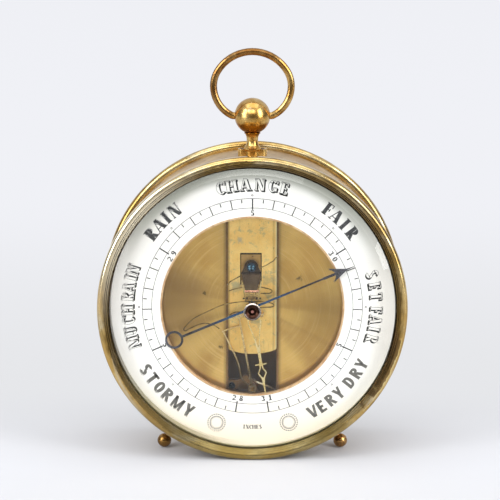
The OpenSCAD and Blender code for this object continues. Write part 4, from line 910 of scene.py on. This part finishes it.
def sloping_letter(c, pen):
    """A, V, Y, N or M."""
    t, h, s = pen
    if c == "A":
        w = 0.66 + t / 2
        thin = slant(h / 2 + s / 2, 0, w / 2 - t / 4, 1, h)
        thick = slant(w - t / 2 - s / 2, 0, w / 2, 1, t)
        serifs = foot(pen, 0.02, h + s, 0) + foot(pen, w - t - s, t + s / 2, 0)
        return [thin, thick, bar(0.16, 0.26, w - 0.2, 0.26 + h)] + serifs, w + s
    if c == "V":
        w = 0.66 + t / 2
        thick = slant(t / 2 + s / 2, 1, w / 2, 0, t)
        thin = slant(w - h / 2 - s / 2, 1, w / 2 + t / 4, 0, h)
        return [thick, thin] + foot(pen, s / 2, t, 1 - h) + foot(pen, w - h - s, h, 1 - h), w
    if c == "Y":
        w = 0.68
        thick = slant(t / 2, 1, w / 2, 0.42, t)
        thin = slant(w - h / 2, 1, w / 2 + t / 4, 0.42, h)
        low = [bar(w / 2 - t / 2, 0, w / 2 + t / 2, 0.45)] + foot(pen, w / 2 - t / 2, t, 0)
        return [thick, thin] + low + foot(pen, 0, t, 1 - h) + foot(pen, w - h, h, 1 - h), w
    if c == "N":
        w = 0.5 + t / 2 + s
        across = slant(s + t / 2, 1, w - t / 2, 0, t)
        return stem(pen, s, h) + stem(pen, w - h, h, bottom=False) + [across], w + s
    if s:
        w = 0.74 + t
        thick = slant(s + t / 2, 1, w / 2 + s / 2, 0.08, t * 0.9)
        thin = slant(w - h / 2, 1, w / 2 + s, 0.08, h)
        return stem(pen, s, h) + stem(pen, w - t, t) + [thick, thin], w + s
    w, side, lean = 0.78, t * 0.75, t * 0.8
    slants = [slant(lean / 2, 1, w / 2, 0, lean), slant(w - lean / 2, 1, w / 2, 0, lean)]
    return [bar(0, 0, side, 1), bar(w - side, 0, w, 1)] + slants, w


def round_letter(c, pen):
    """R, D, O, U, S, C or G."""
    t, h, s = pen
    if c == "R":
        w = 0.62
        x = w - 0.3
        out = stem(pen, s, t) + [bowl(x, 0.73, 0.28, 0.27, t, h, 0, 180), bar(s + t, 1 - h, x, 1)]
        out += [bar(s + t, 0.46, x, 0.46 + h), slant(x, 0.46, w - t / 2 + 0.05, 0, t)]
        return out + foot(pen, w - t + 0.04, t, 0), w + 0.1
    if c == "D":
        w = 0.64
        x = w - 0.34
        out = stem(pen, s, t) + [bowl(x, 0.5, 0.34, 0.5, t, h, 0, 180), bar(s + t, 1 - h, x, 1)]
        return out + [bar(s + t, 0, x, h)], w
    if c == "O":
        return [bowl(0.32, 0.5, 0.32, 0.5, t, h, 0, 360, 28)], 0.64
    if c == "U":
        w = 0.62
        x, reach = (s + w) / 2, (w - s) / 2
        out = [bar(s, 0.3, s + t, 1), bar(w - h, 0.3, w, 1)]
        out += [bowl(x, 0.3, reach, 0.3, t, h, 180, 270), bowl(x, 0.3, reach, 0.3, h, h, 90, 180)]
        return out + foot(pen, s, t, 1 - h) + foot(pen, w - h, h, 1 - h), w + s
    if c == "S":
        q = max(h, t * 0.75)
        upper = [bowl(0.29, 0.74, 0.27, 0.26, t * 0.9, q, 62, -90, 12),
                 bowl(0.29, 0.74, 0.27, 0.26, t, q, -90, -180, 8)]
        lower = [bowl(0.29, 0.26, 0.29, 0.26, t, q, 0, 90, 8),
                 bowl(0.29, 0.26, 0.29, 0.26, t * 0.9, q, 90, 242, 12)]
        return upper + lower + [bar(0.24, 0.5 - q / 2 - 0.02, 0.36, 0.5 + q / 2 + 0.02)], 0.6
    out = [bowl(0.32, 0.5, 0.32, 0.5, t, h, -55, 50, 14), bowl(0.32, 0.5, 0.32, 0.5, t, h, 130, 306, 16)]
    out += [bar(0.56, 0.7, 0.56 + h, 0.98)] if s else []
    if c == "G":
        out += [bar(0.64 - t, 0.08, 0.64, 0.42), bar(0.34, 0.42 - h, 0.66, 0.42)]
    return out, 0.66


def letter(c, pen):
    """Strokes of a letter one unit high, and its width.

    A pen is the width of a thick stroke t, of a thin stroke h, and the reach of a serif s.
    """
    if c in "IHTEF":
        return straight_letter(c, pen)
    if c in "AVYNM":
        return sloping_letter(c, pen)
    return round_letter(c, pen)


def digit(c):
    """Strokes of a figure one unit high, with thick sides and thin turns, and its width."""
    t, h = 0.29, 0.15
    if c == "0":
        return [bowl(0.37, 0.5, 0.37, 0.5, t, h, 0, 360, 20)], 0.74
    if c == "1":
        return [bar(0.2, 0, 0.2 + t, 1), bar(0.04, 0, 0.62, h), slant(0.1, 0.74, 0.28, 1, h)], 0.62
    if c == "2":
        return [bowl(0.36, 0.7, 0.34, 0.3, t, h, -80, 115, 12), slant(0.12, h, 0.6, 0.56, h * 1.6),
                bar(0.04, 0, 0.7, 0.2)], 0.74
    if c == "3":
        return [bowl(0.33, 0.75, 0.31, 0.25, t, h, -75, 180, 12),
                bowl(0.33, 0.28, 0.35, 0.28, t, h, 0, 255, 14)], 0.7
    if c == "5":
        return [bowl(0.34, 0.32, 0.35, 0.32, t, h, -35, 245, 14), bar(0.1, 0.5, 0.1 + h, 1),
                bar(0.1, 0.8, 0.64, 1)], 0.72
    if c == "8":
        return [bowl(0.36, 0.75, 0.29, 0.25, 0.17, h, 0, 360, 16),
                bowl(0.36, 0.27, 0.36, 0.27, t, h, 0, 360, 18)], 0.72
    return [bowl(0.36, 0.68, 0.35, 0.32, t, h, 0, 360, 18),
            bowl(0.28, 0.5, 0.43, 0.5, t, h, 90, 205, 10)], 0.72


def letter_place(angle, r, height, tops_out):
    """A function that puts points of a letter on the dial.

    The points are in mm right and up from the middle of the letter's foot. r is the radius of the
    letter's inner edge, and its top points out, or in towards the drum axis.
    """
    base = at_angle(r if tops_out else r + height, angle)
    right = at_angle(1, angle + (90 if tops_out else -90))
    up = at_angle(1, angle + (0 if tops_out else 180))

    def place(points):
        return [(base[0] + right[0] * x + up[0] * y, base[1] + right[1] * x + up[1] * y) for x, y in points]

    return place


def word(text, angles, r, height, tops_out, pen, breadth, prints):
    """Letters at their own angles along the dial's circle, each set square to its own radius."""
    style = PENS[pen]
    ink = prints[style["ink"]]
    for c, angle in zip(text, angles):
        strokes, width = letter(c, style["pen"])
        place = letter_place(angle, r, height, tops_out)
        for stroke in strokes:
            outline = [((x - width / 2) * height * breadth, y * height) for x, y in stroke]
            if "shadow" in style:
                right, up = style["shadow"]
                for part in (1.0, 0.5):
                    ink.face(place([(x + right * part, y + up * part) for x, y in outline]))
            ink.face(place(outline))
            if "line" in style:
                prints["face"].face(place(shrink(outline, style["line"])))


def figures(text, angle, tops_out, ink):
    """A figure under a division, or two on either side of it."""
    place = letter_place(angle, FIGURE_R - FIGURE_HEIGHT / 2, FIGURE_HEIGHT, tops_out)
    middles = (0.0,) if len(text) == 1 else (-FIGURE_GAP, FIGURE_GAP)
    for c, middle in zip(text, middles):
        strokes, width = digit(c)
        for stroke in strokes:
            outline = [(middle + (x - width / 2) * FIGURE_HEIGHT, y * FIGURE_HEIGHT) for x, y in stroke]
            ink.face(place(outline))


def print_scale(ink):
    """Two rings with long, plain and small divisions between them, figures inside and small rings outside."""
    for r in SCALE_RINGS:
        ink.ring((0, 0), r - SCALE_LINE / 2, r + SCALE_LINE / 2, 240)
    for i in range(-SCALE_HALF, SCALE_HALF + 1):
        angle = SCALE_TURN + SCALE_STEP * i
        if i % 5 == 0:
            ink.tick(angle, *LONG_TICK_R, LONG_TICK_W)
        else:
            ink.tick(angle, *SCALE_RINGS, TICK_W)
        if i < SCALE_HALF:
            ink.tick(angle + SCALE_STEP / 2, *SMALL_TICK_R, TICK_W)
    for angle in SMALL_RING_ANGLES:
        ink.ring(at_angle(SMALL_RING_AT, angle), *SMALL_RING, 16)
    for text, i in FIGURES:
        figures(text, SCALE_TURN + SCALE_STEP * i, abs(i) <= FIGURE_FLIP, ink)


def print_seals(ink):
    """Plain beaded seals with nothing in them."""
    for angle in SEAL_ANGLES:
        x, up = at_angle(SEAL_AT, angle)
        for (r_in, r_out), steps in zip(SEAL_RINGS, (40, 36)):
            ink.ring((x, up), r_in, r_out, steps)
        for k in range(SEAL_BEADS):
            right, above = at_angle(SEAL_BEADS_AT, k * 360 / SEAL_BEADS)
            ink.ring((x + right, up + above), 0.0, SEAL_BEAD_R, 8)


def print_dial():
    ink = Print("dial_print", "dial_ink", INK_LIFT)
    grey = Print("dial_grey_print", "dial_grey_ink", INK_LIFT)
    faces = Print("dial_letter_faces", "dial_enamel", FACE_LIFT)
    prints = {"dark": ink, "grey": grey, "face": faces}
    print_scale(ink)
    for row in WORDS:
        word(*row, prints)
    print_seals(ink)
    word(*UNIT, prints)
    for layer in prints.values():
        layer.build()


# Room, lights and camera

# the middle of the object, where the lamps point, in metres
LAMP_AIM = Vector((0.0, 0.0, 0.08))


def pale_floor():
    """A pale sheet. Beyond the object's shadow it is its own pale tone wherever it is seen."""
    n = Net("pale_floor", Metallic=0.0, Specular_IOR_Level=0.15)
    n.set(Base_Color=n.mix(n.spread(n.noise(0.002, 2.0), 0.0, 0.05), rgb("cccdd1"), rgb("d6d7db")),
          Roughness=n.spread(n.noise(0.003, 2.0), 0.7, 0.75))
    # painted shade: the floor is greyed towards the front
    n.tint(n.remap(n.y, -40.0, -330.0, 0.0, 0.9, smooth=False), "a8a5a0")
    rays = n.node("LightPath")
    mirrored = n.math("MAXIMUM", rays.outputs["Is Glossy Ray"], rays.outputs["Is Transmission Ray"])
    seen = n.math("MAXIMUM", rays.outputs["Is Camera Ray"], mirrored)
    glow = n.node("Emission")
    tone = n.mix(n.remap(n.y, 60.0, 700.0), rgb("e6e7ea"), rgb("f0f1f6"))
    n.join(n.mix(n.remap(n.z, 20.0, 500.0), tone, rgb("eaebf0")), glow.inputs["Color"])
    n.show_instead(n.times(seen, n.remap(n.y, -25.0, 110.0)), glow)
    return n


def make_room():
    """A table top that turns up smoothly into a backdrop, in metres."""
    width, near, far, r, top, steps = 4.0, -0.7, 1.1, 0.5, 2.6, 16
    bends = [math.radians(90 * i / steps) for i in range(1, steps + 1)]
    profile = [(near, 0.0), (far - r, 0.0)]
    profile += [(far - r + r * math.sin(a), r - r * math.cos(a)) for a in bends]
    profile.append((far, top))
    points = [(x, y, z) for x in (-width / 2, width / 2) for y, z in profile]
    count = len(profile)
    faces = [(i, i + count, i + count + 1, i + 1) for i in range(count - 1)]
    mesh = bpy.data.meshes.new("floor")
    mesh.from_pydata(points, [], faces)
    mesh.materials.append(pale_floor().material)
    for p in mesh.polygons:
        p.use_smooth = True
    floor = add_object("floor", mesh)


def lamp(name, at, size, power):
    """A rectangular lamp, in metres and watts."""
    data = bpy.data.lights.new(name, "AREA")
    data.shape = "RECTANGLE"
    data.size, data.size_y = size
    data.energy = power
    obj = add_object(name, data)
    obj.location = at
    obj.rotation_euler = (LAMP_AIM - Vector(at)).to_track_quat("-Z", "Y").to_euler()


def make_world():
    """A room that is dim where the photographer stands and lighter overhead."""
    world = bpy.data.worlds.new("room")
    world.use_nodes = True
    tree = world.node_tree
    coord = tree.nodes.new("ShaderNodeTexCoord")
    split = tree.nodes.new("ShaderNodeSeparateXYZ")
    tree.links.new(coord.outputs["Generated"], split.inputs[0])
    tone = tree.nodes.new("ShaderNodeMapRange")
    tone.interpolation_type = "SMOOTHSTEP"
    tree.links.new(split.outputs[2], tone.inputs["Value"])
    for key, value in (("From Min", 0.1), ("From Max", 0.8), ("To Min", 0.26), ("To Max", 0.8)):
        tone.inputs[key].default_value = value
    back = tree.nodes["Background"]
    back.inputs["Color"].default_value = (0.95, 0.97, 1.0, 1.0)
    tree.links.new(tone.outputs[0], back.inputs["Strength"])
    bpy.context.scene.world = world


def make_lights():
    lamp("left_box", (-0.85, -0.62, 0.5), (0.45, 0.9), 7.6)
    lamp("right_box", (0.85, -0.62, 0.5), (0.45, 0.9), 8.3)
    lamp("front_box", (-0.1, -1.0, 0.85), (1.0, 0.5), 4.6)
    lamp("top_box", (0.0, -0.15, 1.25), (1.3, 0.9), 6.0)


def make_camera():
    """The fitted camera. focal, u0 and v0 are in pixels of a square picture, distance is in metres."""
    picture, sensor = 500.0, 36.0
    focal, u0, v0 = 1925.0, 252.4, 309.7
    elevation, distance = math.radians(13.33), 0.9
    data = bpy.data.cameras.new("camera")
    data.sensor_width = sensor
    data.lens = focal * sensor / picture
    data.clip_start, data.clip_end = 0.05, 20.0
    obj = add_object("camera", data)
    aim = Vector((0.0, FRONT_Y * MM, AXIS_Z * MM))
    obj.location = aim + distance * Vector((0.0, -math.cos(elevation), math.sin(elevation)))
    pitch = elevation - math.atan((v0 - picture / 2) / focal)
    yaw = math.atan((u0 - picture / 2) / focal)
    obj.rotation_euler = Euler((math.pi / 2 - pitch, 0.0, yaw), "XYZ")
    bpy.context.scene.camera = obj


def main():
    bpy.context.scene.view_settings.view_transform = "Standard"
    make_camera()
    make_materials()
    dress_nodes()
    make_pointer_head()
    make_slot_shade_liners()
    make_index_wire()
    print_dial()
    make_room()
    make_lights()
    make_world()


main()
